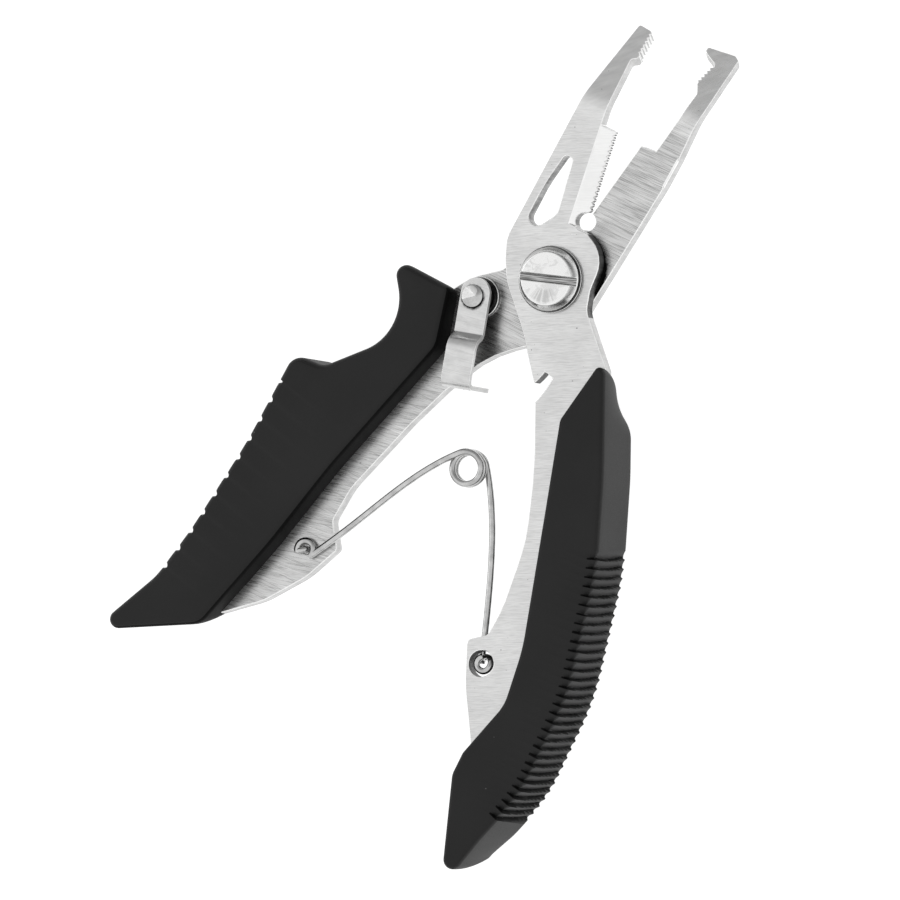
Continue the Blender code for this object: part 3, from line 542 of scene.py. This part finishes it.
def head_steel(name):
    """Turned and polished screw head, with a painted reflection below its slot: a fan of dark
    patches.
    """
    shader = Shader(name)
    radius = shader.away_from(0, 0)
    angle = shader.math("ARCTAN2", shader.along((0, 1)), shader.along((1, 0)))
    rays = shader.add("ShaderNodeTexNoise", noise_dimensions="1D")
    shader.link(angle, rays.inputs["W"])
    rays.inputs["Scale"].default_value = 3.4
    rays.inputs["Detail"].default_value = 2.0
    # Painted reflection: dark patches in a fan below the slot.
    painted_reflection_fan = shader.product(
        shader.spread(angle, -1.95, -1.6),
        shader.spread(angle, -0.4, -0.75),
        shader.spread(radius, 1.5 * MM, 1.9 * MM),
        shader.spread(radius, 3.75 * MM, 3.45 * MM),
        shader.spread(rays.outputs["Fac"], 0.42, 0.52),
    )
    clouds = shader.noise(0, (1.6, 1.6, 1.6), detail=3, roughness=0.6, distortion=0.6)
    color = shader.blend(shader.spread(clouds, 0.4, 0.5), grey(0.72), grey(0.84))
    color = shader.blend(shader.product(painted_reflection_fan, 0.55), color, grey(0.42))
    pits = shader.noise(0, (0.22, 0.22, 3), detail=2)
    shader.bump(shader.math("ADD", clouds, shader.product(pits, 0.15)), 0.25, 0.06)
    return shader.finish(color, 0.16, metallic=1.0)


def slot_steel(name, turn):
    """Floor of a sawn slot: fine lines along it, and painted shade, dark where it meets the walls.
    """
    shader = Shader(name)
    lines = shader.noise(turn, (4, 0.14, 1), detail=1)
    color = shader.blend(shader.spread(lines, 0.4, 0.6), grey(0.1), grey(0.62))
    off = shader.math("ABSOLUTE", shader.along((-math.sin(turn), math.cos(turn))))
    color = shader.blend(shader.spread(off, 0.34 * MM, 0.5 * MM), color, grey(0.01))
    shader.bump(lines, 0.2, 0.03)
    return shader.finish(color, 0.3, metallic=1.0)


def wire_steel(name):
    """Bright drawn wire."""
    shader = Shader(name)
    marks = shader.noise(0, (1.5, 1.5, 1.5), detail=2)
    color = shader.blend(shader.spread(marks, 0.35, 0.7), grey(0.44), grey(0.62))
    shader.bump(marks, 0.05, 0.02)
    return shader.finish(color, shader.spread(marks, 0.3, 0.7, 0.1, 0.16), metallic=1.0)


def rubber(name, dark, light, specular):
    """Matte moulded rubber with a fine grain, faint handling marks and specks of dust."""
    shader = Shader(name)
    grain = shader.noise(0, (0.16, 0.16, 0.16), detail=2, roughness=0.6)
    clouds = shader.noise(0, (14, 14, 14), detail=3)
    cells = shader.add("ShaderNodeTexVoronoi")
    cells.inputs["Scale"].default_value = 1 / (2.6 * MM)
    cells.inputs["Randomness"].default_value = 1.0
    shader.link(shader.place, cells.inputs["Vector"])
    drawn = shader.add("ShaderNodeSeparateXYZ")
    shader.link(cells.outputs["Color"], drawn.inputs[0])
    chosen = shader.math("GREATER_THAN", drawn.outputs[0], 0.8)
    size = shader.product(drawn.outputs[1], 0.05)
    dust = shader.product(shader.math("LESS_THAN", cells.outputs["Distance"], size), chosen)
    color = shader.blend(shader.spread(clouds, 0.35, 0.7), grey(dark), grey(light))
    color = shader.blend(shader.product(dust, 0.8), color, grey(0.12))
    shader.bump(grain, 0.2, 0.025)
    shader.shader.inputs["Specular IOR Level"].default_value = specular
    return shader.finish(color, shader.spread(grain, 0.3, 0.7, 0.62, 0.52))


# Steel pieces


def facet_head(shape):
    """Cut the top of a rivet head into a low pyramid."""
    tops = [face for face in shape.faces if face.normal.z > 0.9]
    apex = max((face.calc_center_median() for face in tops), key=lambda center: center.z)
    for i in range(RIVET_FACETS):
        way = polar((0, 0), math.sin(FACET_TILT), math.tau * (i + 0.3) / RIVET_FACETS)
        cut = bmesh.ops.bisect_plane(
            shape,
            geom=shape.verts[:] + shape.edges[:] + shape.faces[:],
            plane_co=apex,
            plane_no=(*way, math.cos(FACET_TILT)),
            clear_outer=True,
            dist=1e-5,
        )
        edges = [part for part in cut["geom_cut"] if isinstance(part, bmesh.types.BMEdge)]
        bmesh.ops.edgenet_fill(shape, edges=edges)
    shape.normal_update()


def add_steel(
    name, node, body, half, look, part_of, width=SMALL_EDGE_BREAK, faceted=False
):
    """A steel piece: the node's shape with broken edges.

    part_of tells which part of the look a face belongs to.
    """
    shape = cad_shape(node, half)
    if faceted:
        facet_head(shape)
    parts = list(look)
    for face in shape.faces:
        face.material_index = parts.index(part_of(face))
    piece = new_piece(name, shape, body, half, look)
    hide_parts(node)
    break_edges(piece, width, parts.index("broken edge") if "broken edge" in parts else -1)


def within(point, stretch):
    x_from, x_to, y_from, y_to = stretch
    return x_from < point.x < x_to and y_from < point.y < y_to


def front_plate_part(face):
    """Cut edges painted nearly black as shade, and the grey ones at the root of the jaw, are told
    apart by where they are.
    """
    normal = face.normal
    center = face.calc_center_median()
    if abs(normal.z) > 0.5:
        is_bevel = normal.z > 0 and normal.x > 0.2 and center.y < CUTTER_TEETH[3]
        return "saw bevel" if is_bevel else "face"
    if (center.xy - Vector(FRONT_SPRING_HOLE)).length < FRONT_SPRING_HOLE_REACH:
        return "black edge"
    if within(center, CUTTER_TEETH) or within(center, HUB_SIDE):
        return "black edge"
    if within(center, LOCK_NOTCH) and normal.x > 0:
        return "black edge"
    in_jaw_root = within(center, JAW_ROOT_LEFT) or within(center, JAW_ROOT_RIGHT)
    if in_jaw_root and center.xy.length > SCREW_BORE_REACH:
        return "grey edge"
    return "edge"


def rear_plate_part(face):
    return "edge" if abs(face.normal.z) < 0.8 else "face"


def screw_part(face):
    if face.normal.z < 0.15:
        return "side"
    if face.normal.z < 0.9:
        return "rim"
    return "top" if face.calc_center_median().z > SCREW_TOP - 0.2 else "slot"


def round_part(face):
    return "top" if face.normal.z > 0.3 else "side"


def rivet_part(face):
    """The dim facets, the ones that face away from the light, get a darker steel as painted shade.
    """
    if face.normal.z < 0.3:
        return "side"
    is_dim = face.normal.x - face.normal.y > 0.12 or face.normal.y > 0.2
    return "dim facet" if is_dim else "facet"


def lever_part(face):
    # The underside is painted nearly black as shade.
    if face.normal.z > 0.25:
        return "face"
    return "underside" if face.normal.z < -0.25 else "edge"


def steel_looks():
    """The look of each kind of steel piece."""
    front_face = brushed_steel(
        "front_plate_steel",
        turns=[math.radians(30)],
        tones=(0.6, 0.79),
        roughness=0.34,
        grain=(2.0, 0.15, 2),
        spreads=(0.34, 0.58),
        tip=(FRONT_TURN, FRONT_BEND_Y, 0.84),
        scratches=0.25,
    )
    rear_face = brushed_steel(
        "rear_plate_steel",
        turns=[math.radians(5), math.radians(19)],
        tones=(0.34, 0.7),
        roughness=0.28,
        grain=(4, 0.15, 2),
        spreads=(0.34, 0.56),
        tip=(REAR_TURN, REAR_BEND_Y, 0.86),
        mark=HUB_PAINTED_SHADOW,
        scratches=0.5,
    )
    lever_face = brushed_steel(
        "lever_steel",
        turns=[math.radians(15)],
        tones=(0.6, 0.74),
        roughness=0.3,
        grain=(2.5, 1.0, 1),
        mark=RIVET_PAINTED_SHADOW,
        scratches=0.25,
    )
    saw_bevel = brushed_steel(
        "ground_bevel",
        turns=[math.radians(28)],
        tones=(0.9, 0.98),
        roughness=0.35,
        grain=(3, 0.16, 2),
    )
    edge = side_steel("cut_edge", 0.5, 0.64)
    # The broken edges are painted much brighter than the faces, as a highlight.
    broken_edge = side_steel("broken_edge", 0.86, 0.97, 0.3)
    rim = side_steel("turned_rim", 0.62, 0.8, 0.24)
    # The turned sides of the screw head, the washers and the rivet are painted dark as shade.
    painted_shade_side = side_steel("painted_shade_turned_side", 0.02, 0.09, 0.3)
    polished = polished_steel("polished_steel", 0.88, 0.16)
    return {
        "front plate": {
            "face": front_face,
            "edge": edge,
            "saw bevel": saw_bevel,
            "grey edge": side_steel("grey_cut_edge", 0.13, 0.44),
            "black edge": side_steel("painted_shade_cut_edge", 0.008, 0.13),
            "broken edge": broken_edge,
        },
        "rear plate": {"face": rear_face, "edge": edge, "broken edge": broken_edge},
        "screw": {
            "top": head_steel("screw_head_steel"),
            "rim": rim,
            "slot": slot_steel("slot_floor", FRONT_TURN + SCREW_SLOT_TURN),
            "side": painted_shade_side,
            "broken edge": broken_edge,
        },
        "nut": {"top": polished, "side": rim},
        # The washers' tops are painted dark as the shadow under the lever and the screw head, and
        # their broken edges take the bright polished steel as a painted highlight.
        "washer": {
            "top": side_steel("painted_shadow_turned_top", 0.06, 0.16, 0.3),
            "side": painted_shade_side,
            "broken edge": polished,
        },
        "rivet": {
            "facet": rim,
            "side": painted_shade_side,
            "dim facet": side_steel("rivet_painted_shade_facet", 0.42, 0.6, 0.22),
        },
        "lever": {
            "face": lever_face,
            "edge": edge,
            "underside": side_steel("lever_painted_shade_underside", 0.05, 0.1, 0.4),
            "broken edge": broken_edge,
        },
    }


def build_plates(looks):
    add_steel(
        "front_blade",
        "front_plate",
        "front_half",
        FRONT_HALF,
        looks["front plate"],
        front_plate_part,
        width=PLATE_EDGE_BREAK,
    )
    add_steel(
        "rear_blade",
        "rear_plate",
        "rear_half",
        REAR_HALF,
        looks["rear plate"],
        rear_plate_part,
        width=PLATE_EDGE_BREAK,
    )


def build_hardware(looks):
    for node, look, part_of in (
        ("pivot_screw", "screw", screw_part),
        ("pivot_barrel_nut", "nut", round_part),
        ("pivot_washer", "washer", round_part),
    ):
        add_steel(node + "_finish", node, "front_half", FRONT_HALF, looks[look], part_of)
    add_steel(
        "latch_rivet_finish",
        "latch_rivet",
        "rear_half",
        REAR_HALF,
        looks["rivet"],
        rivet_part,
        width=RIVET_EDGE_BREAK,
        faceted=True,
    )
    for node in ("latch_flat_washer", "latch_spring_washer"):
        add_steel(
            node + "_finish",
            node,
            "rear_half",
            REAR_HALF,
            looks["washer"],
            round_part,
            width=WASHER_EDGE_BREAK,
        )
    add_steel(
        "latch_lever_finish",
        "latch_lever",
        "latch",
        REAR_HALF,
        looks["lever"],
        lever_part,
    )


# Grips


def rib_relief(along):
    """Depth at a distance up from the first rib.

    Over RIB_STEP of the pitch it drops steeply into the rubber, then it rises slowly to the next
    crest, with a faint wave.
    """
    if not 0 <= along <= RIB_PITCH * RIB_COUNT:
        return 0.0
    t = along / RIB_PITCH % 1.0
    if t < RIB_STEP:
        return RIB_DEPTH * ease(t / RIB_STEP)
    slope = (1 - t) / (1 - RIB_STEP)
    wave = slope * (1 + math.cos(slope * 3 * math.tau)) / 2
    return RIB_DEPTH * (0.9 * slope**1.3 + 0.1 * wave)


def groove_relief(along):
    """Depth at a distance past the first V groove. Beside each groove the rubber sinks a little."""
    nearest = min(GROOVE_COUNT - 1, max(0, round(along / GROOVE_PITCH)))
    off = abs(along - nearest * GROOVE_PITCH) / (GROOVE_WIDTH / 2)
    return GROOVE_DEPTH * max(0.0, 1 - off) ** 0.85 + 0.05 * max(0.0, 1 - off / 2.2)


def smooth_normals(points, reach):
    """Outward unit normals of an anticlockwise loop, averaged over some neighbours."""
    count = len(points)
    normals = []
    for i in range(count):
        along = points[(i + reach) % count] - points[(i - reach) % count]
        normals.append(Vector((along.y, -along.x)).normalized())
    return normals


def room_inside(points, normals, i):
    """Radius of the largest circle that touches the loop at point i from inside, up to ROOM_MAX."""
    room = ROOM_MAX
    here = points[i]
    for other in points[::3]:
        gap = other - here
        inward = -gap.dot(normals[i])
        if inward > 0.05:
            room = min(room, gap.length_squared / (2 * inward))
    return room


def edge_profile(edge, reach):
    """Rings from the wall to the flat face, as (inset, drop below the face, relief's share, tilt).

    Where the relief has a reach it runs on over the face. Otherwise it fades out round the edge.
    """
    rings = []
    for step in range(EDGE_STEPS + 1):
        tilt = math.pi / 2 * step / EDGE_STEPS
        share = 1.0 if reach else ease(math.cos(tilt) * 1.15)
        rings.append((edge * (1 - math.cos(tilt)), edge * (1 - math.sin(tilt)), share, tilt))
    if reach:
        for step in range(1, REACH_STEPS + 1):
            part = step / REACH_STEPS
            rings.append((edge + reach * part, 0.0, 1 - ease(part), math.pi / 2))
    return rings


def grip_rings(edge, reach):
    """Rings from back to front, as (side, level, inset, relief's share, tilt).

    side goes from -1 for the back's edge to 1 for the front's, and level is the ring's height.
    """
    rings = []
    for inset, drop, share, tilt in reversed(edge_profile(edge, 0)):
        rings.append((-1, GRIP_BOTTOM + drop, inset, share, tilt))
    for i in range(1, WALL_STEPS):
        side = i / WALL_STEPS * 2 - 1
        level = (GRIP_BOTTOM + GRIP_TOP) / 2 + side * ((GRIP_TOP - GRIP_BOTTOM) / 2 - edge)
        rings.append((side, level, 0.0, 1.0, 0.0))
    for inset, drop, share, tilt in edge_profile(edge, reach):
        rings.append((1, GRIP_TOP - drop, inset, share, tilt))
    return rings


def shortened(point, ends, height):
    """The outline's point at a height from 0, the back, to 1, the front."""
    moved = point.copy()
    for way, level, reach, shift in ends:
        share = ease((point.dot(Vector(way)) - level + reach) / reach)
        moved += Vector(shift) * (share * (1 - height) ** 2)
    return moved


def grip(name, node, corners, pattern, body, half, look, edge, ends, part_of):
    """Moulded grip: the outline swept from back to front, with rounded edges and a relief.

    pattern is (relief, start, reach): the depth along the outline, where it starts, and how far it
    runs on over the front face. part_of tells which part of the look a bit of the skin belongs to.
    """
    relief, start, reach = pattern
    points, spacing = outline(corners, GRIP_STEP)
    first = min(range(len(points)), key=lambda i: (points[i] - Vector(start)).length)
    points = points[first:] + points[:first]
    normals = smooth_normals(points, NORMAL_REACH)
    rooms = [0.95 * room_inside(points, normals, i) for i in range(len(points))]
    shape = bmesh.new()
    rings = []
    shifts = []
    for side, level, inset, share, tilt in grip_rings(edge, reach):
        height = (level - GRIP_BOTTOM) / (GRIP_TOP - GRIP_BOTTOM)
        shift = PATTERN_SAG * (1 - side * side) - PATTERN_SLANT * (1 - side) / 2
        ring = []
        for i, (point, normal, room) in enumerate(zip(points, normals, rooms)):
            depth = share * relief(i * spacing + shift)
            across = room * (1 - math.exp(-inset / room)) + depth * math.cos(tilt)
            place = shortened(point, ends, height) - normal * across
            sunk = depth * math.sin(tilt) if side == 1 else 0.0
            ring.append(shape.verts.new((place.x, place.y, level - sunk)))
        rings.append(ring)
        shifts.append(shift)
    parts = list(look)
    wall = range(EDGE_STEPS // 2, EDGE_STEPS + WALL_STEPS + EDGE_STEPS // 2)
    for row, (below, above) in enumerate(zip(rings, rings[1:])):
        runs_out = reach > 0 and row == len(rings) - 2
        for i in range(len(points)):
            j = (i + 1) % len(points)
            face = shape.faces.new((below[i], below[j], above[j], above[i]))
            along = (i + 0.5) * spacing + shifts[row]
            face.material_index = parts.index(part_of(normals[i], along, row in wall, runs_out))
    for ring in (rings[0], rings[-1]):
        for triangle in tessellate_polygon([[vert.co.copy() for vert in ring]]):
            shape.faces.new([ring[i] for i in triangle])
    piece = new_piece(name, shape, body, half, look, sharp=60)
    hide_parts(node)


def right_grip_part(normal, along, on_wall, runs_out):
    """The steep sides of the ribs are painted deep black as shade, and the rest of the outer side
    is painted lighter, as lit.
    """
    ribbed = 0 <= along <= RIB_PITCH * RIB_COUNT
    if ribbed and along / RIB_PITCH % 1.0 < RIB_STEP and not runs_out:
        return "deep"
    if not on_wall:
        return "face"
    return "plain" if along < 0 or normal.x < 0.5 else "scuffed"


def left_grip_part(normal, along, on_wall, runs_out):
    """The inner side and the lower end are painted deep black as shade."""
    return "deep" if on_wall and (normal.x > 0.35 or normal.y < -0.5) else "face"


def build_grips():
    black = rubber("black_rubber", 0.0065, 0.0095, 0.3)
    # A lighter copy of the rubber, painted as lit, for the right grip's outer side.
    scuffed = rubber("painted_light_rubber", 0.011, 0.018, 0.32)
    plain = rubber("plain_rubber", 0.007, 0.011, 0.12)
    # A near-black copy of the rubber, painted as shade on the ribs' steep sides and the left grip's
    # inner side and lower end.
    painted_shade_black = rubber("painted_shade_black_rubber", 0.003, 0.005, 0.06)
    grip(
        "right_grip_rubber",
        "right_grip",
        RIGHT_GRIP,
        (rib_relief, RIBS_START, RIB_REACH),
        "front_half",
        FRONT_HALF,
        {"face": black, "scuffed": scuffed, "deep": painted_shade_black, "plain": plain},
        RIGHT_GRIP_EDGE,
        RIGHT_ENDS,
        right_grip_part,
    )
    grip(
        "left_grip_rubber",
        "left_grip",
        LEFT_GRIP,
        (groove_relief, GROOVES_START, 0),
        "rear_half",
        REAR_HALF,
        {"face": black, "deep": painted_shade_black},
        LEFT_GRIP_EDGE,
        LEFT_ENDS,
        left_grip_part,
    )


# Spring


def leg_path(leave_angle, leave_z, eye, eye_z, eye_side, travel, bow, eye_radius):
    """Leg from the coil to the start of its eye, and the angle round the eye where it arrives.

    It leaves the coil in line with the wire, anticlockwise if travel is 1, clockwise if it is -1.
    Seen along the wire it arrives on the right of the eye if eye_side is 1, on the left if it is
    -1. bow is how far it bends at its end, as a share of the bend at its start.
    """
    start = Vector(polar(COIL_AT, COIL_RADIUS, leave_angle))
    start_way = Vector(polar((0, 0), 1, leave_angle + travel * math.pi / 2))
    way = (eye - start).normalized()
    bend = start_way.angle_signed(way)
    end_way = Matrix.Rotation(-bow * bend, 2) @ way
    outside = Vector((end_way.y, -end_way.x)) * eye_side
    end = eye + outside * eye_radius
    pull = (end - start).length / 3
    first = start + start_way * pull
    second = end - end_way * pull
    path = []
    for i in range(LEG_STEPS + 1):
        t = i / LEG_STEPS
        back = 1 - t
        flat = start * back**3 + first * 3 * t * back**2 + second * 3 * t * t * back + end * t**3
        path.append((*flat, leave_z + (eye_z - leave_z) * ease(t / 0.72)))
    return path, math.atan2(outside.y, outside.x)


def eye_path(center, z, start_angle, sweep, radius, rise=0.0):
    """Arc of wire round an eye's centre. It rises over the first half of its sweep."""
    path = []
    for i in range(1, EYE_STEPS + 1):
        share = i / EYE_STEPS
        height = z + rise * ease(share * 2)
        path.append((*polar(center, radius, start_angle + sweep * share), height))
    return path


def smooth_run(points, steps):
    """Points along a smooth curve through a few given ones."""
    points = [Vector(point) for point in points]
    ends = [2 * points[0] - points[1]] + points + [2 * points[-1] - points[-2]]
    run = []
    for before, a, b, after in zip(ends, ends[1:], ends[2:], ends[3:]):
        first = (b - before) * 0.5
        last = (after - a) * 0.5
        for i in range(steps):
            t = i / steps
            run.append(
                a * (2 * t**3 - 3 * t**2 + 1)
                + first * (t**3 - 2 * t**2 + t)
                + b * (3 * t**2 - 2 * t**3)
                + last * (t**3 - t**2)
            )
    run.append(points[-1])
    return run


def tube(path, radius, sides):
    """Round bar along a path, with slightly narrower ends."""
    shape = bmesh.new()
    path = [Vector(point) for point in path]
    last = len(path) - 1
    across = (path[1] - path[0]).orthogonal().normalized()
    angles = [math.tau * side / sides for side in range(sides)]
    rings = []
    for i, point in enumerate(path):
        along = (path[min(i + 1, last)] - path[max(i - 1, 0)]).normalized()
        across = (across - along * across.dot(along)).normalized()
        other = along.cross(across)
        size = radius * (0.78 if i in (0, last) else 1.0)
        offsets = [across * math.cos(a) + other * math.sin(a) for a in angles]
        rings.append([shape.verts.new(point + offset * size) for offset in offsets])
    for low, high in zip(rings, rings[1:]):
        for i in range(sides):
            j = (i + 1) % sides
            shape.faces.new((low[i], low[j], high[j], high[i]))
    shape.faces.new(rings[0])
    shape.faces.new(rings[-1])
    return shape


def build_spring():
    """One wire: hook in the front plate, right leg, coil, left leg, and eye and pin in the rear."""
    turn = math.tau * COIL_TURNS
    coil_bottom = -COIL_RISE / 2
    eye = Vector(FRONT_EYE_AT.xy)
    eye_z = PLATE_GAP / 2 - WIRE_RADIUS - EYE_CLEARANCE
    leg, angle = leg_path(
        RIGHT_LEG_LEAVES, coil_bottom, eye, eye_z, 1, travel=-1, bow=0.8, eye_radius=HOOK_RADIUS
    )
    hook = eye_path(eye, eye_z, angle, HOOK_SWEEP, HOOK_RADIUS, HOOK_RISE)
    path = hook[::-1] + leg[::-1]
    for i in range(1, COIL_STEPS):
        share = i / COIL_STEPS
        place = polar(COIL_AT, COIL_RADIUS, RIGHT_LEG_LEAVES + turn * share)
        path.append((*place, coil_bottom + COIL_RISE * share))
    leaves = RIGHT_LEG_LEAVES + turn
    eye = Vector(REAR_EYE_AT.xy)
    eye_z = -eye_z
    leg, angle = leg_path(
        leaves, -coil_bottom, eye, eye_z, -1, travel=1, bow=0.15, eye_radius=EYE_RADIUS
    )
    ring = eye_path(eye, eye_z, angle, EYE_SWEEP, EYE_RADIUS)
    inward = Vector(ring[-1][:2]) - eye
    pin = [
        ring[-1],
        (*(eye + inward * 0.45), eye_z - 0.05),
        (*eye, eye_z - 0.7),
        (*eye, -PLATE_GAP / 2 - PLATE - PIN_PAST_PLATE),
    ]
    path += leg + ring[:-1] + smooth_run(pin, 5)
    spring = new_piece(
        "torsion_spring",
        tube(path, WIRE_RADIUS, WIRE_SIDES),
        None,
        Matrix.Translation(PIVOT),
        {"wire": wire_steel("spring_wire")},
    )
    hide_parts("spring_right_leg", "spring_left_leg")
    # The wire bends from one body to the other inside the coil
    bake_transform(spring)


# Studio


def build_floor():
    """Plain white floor, lit mostly by its own glow so that it stays even."""
    material = bpy.data.materials.new("floor_white")
    material.use_nodes = True
    shader = material.node_tree.nodes["Principled BSDF"]
    shader.inputs["Base Color"].default_value = (0.3, 0.3, 0.3, 1)
    shader.inputs["Roughness"].default_value = 0.9
    shader.inputs["Specular IOR Level"].default_value = 0.1
    shader.inputs["Emission Color"].default_value = (1, 1, 1, 1)
    shader.inputs["Emission Strength"].default_value = 0.93
    bpy.ops.mesh.primitive_plane_add(size=FLOOR_SIZE, location=(0, 0, -FLOOR_BELOW))
    floor = bpy.context.object
    floor.name = "floor"
    floor.data.materials.append(material)


def dimmed(tree, value, start, full, amount):
    """Share of the light taken away, from none where value is start to amount where it is full."""
    ramp = tree.nodes.new("ShaderNodeMapRange")
    ramp.interpolation_type = "SMOOTHSTEP"
    ramp.inputs["From Min"].default_value = start
    ramp.inputs["From Max"].default_value = full
    ramp.inputs["To Min"].default_value = 0.0
    ramp.inputs["To Max"].default_value = amount
    tree.links.new(value, ramp.inputs["Value"])
    return ramp.outputs["Result"]


def build_light():
    """White studio with a dim far side. A dark band round the horizon outlines the steel."""
    world = bpy.data.worlds.new("studio")
    bpy.context.scene.world = world
    world.use_nodes = True
    tree = world.node_tree
    background = tree.nodes["Background"]
    way = tree.nodes.new("ShaderNodeTexCoord").outputs["Generated"]
    height = tree.nodes.new("ShaderNodeSeparateXYZ")
    tree.links.new(way, height.inputs[0])
    horizon = dimmed(tree, height.outputs["Z"], start=0.26, full=0.14, amount=0.95)
    toward_far_side = tree.nodes.new("ShaderNodeVectorMath")
    toward_far_side.operation = "DOT_PRODUCT"
    tree.links.new(way, toward_far_side.inputs[0])
    toward_far_side.inputs[1].default_value = Vector((-0.2, 0.8, 0.5)).normalized()
    far_side = dimmed(tree, toward_far_side.outputs["Value"], start=0.55, full=0.95, amount=0.55)
    both = tree.nodes.new("ShaderNodeMath")
    both.operation = "ADD"
    tree.links.new(horizon, both.inputs[0])
    tree.links.new(far_side, both.inputs[1])
    left = tree.nodes.new("ShaderNodeMath")
    left.operation = "SUBTRACT"
    left.use_clamp = True
    left.inputs[0].default_value = 1.0
    tree.links.new(both.outputs[0], left.inputs[1])
    tree.links.new(left.outputs[0], background.inputs["Strength"])
    background.inputs["Color"].default_value = (1, 1, 1, 1)

    lamp = bpy.data.lights.new("left_softbox", "AREA")
    lamp.shape = "RECTANGLE"
    lamp.size = LAMP_SIZE
    lamp.size_y = LAMP_SIZE
    lamp.energy = 1.0
    softbox = bpy.data.objects.new("left_softbox", lamp)
    bpy.context.scene.collection.objects.link(softbox)
    softbox.location = LAMP_AT
    softbox.rotation_euler = (-softbox.location).to_track_quat("-Z", "Y").to_euler()


def build_camera():
    """Long lens, 22 degrees off the plates' normal, rolled so that the jaws point up and right."""
    right = Vector(CAMERA_RIGHT).normalized()
    toward = Vector(CAMERA_TOWARD).normalized()
    up = toward.cross(right).normalized()
    right = up.cross(toward)
    data = bpy.data.cameras.new("camera")
    data.lens = data.sensor_width * CAMERA_DISTANCE / VIEW_WIDTH
    data.clip_start = 0.1
    data.clip_end = 20
    camera = bpy.data.objects.new("camera", data)
    bpy.context.scene.collection.objects.link(camera)
    target = PIVOT + (right * VIEW_CENTER_RIGHT + up * VIEW_CENTER_UP) * MM
    turn = Matrix((right, up, toward)).transposed()
    camera.matrix_world = Matrix.Translation(target + toward * CAMERA_DISTANCE) @ turn.to_4x4()
    bpy.context.scene.camera = camera


looks = steel_looks()
build_plates(looks)
build_grips()
build_hardware(looks)
build_spring()
build_floor()
build_light()
build_camera()
bpy.context.scene.view_settings.view_transform = "Standard"
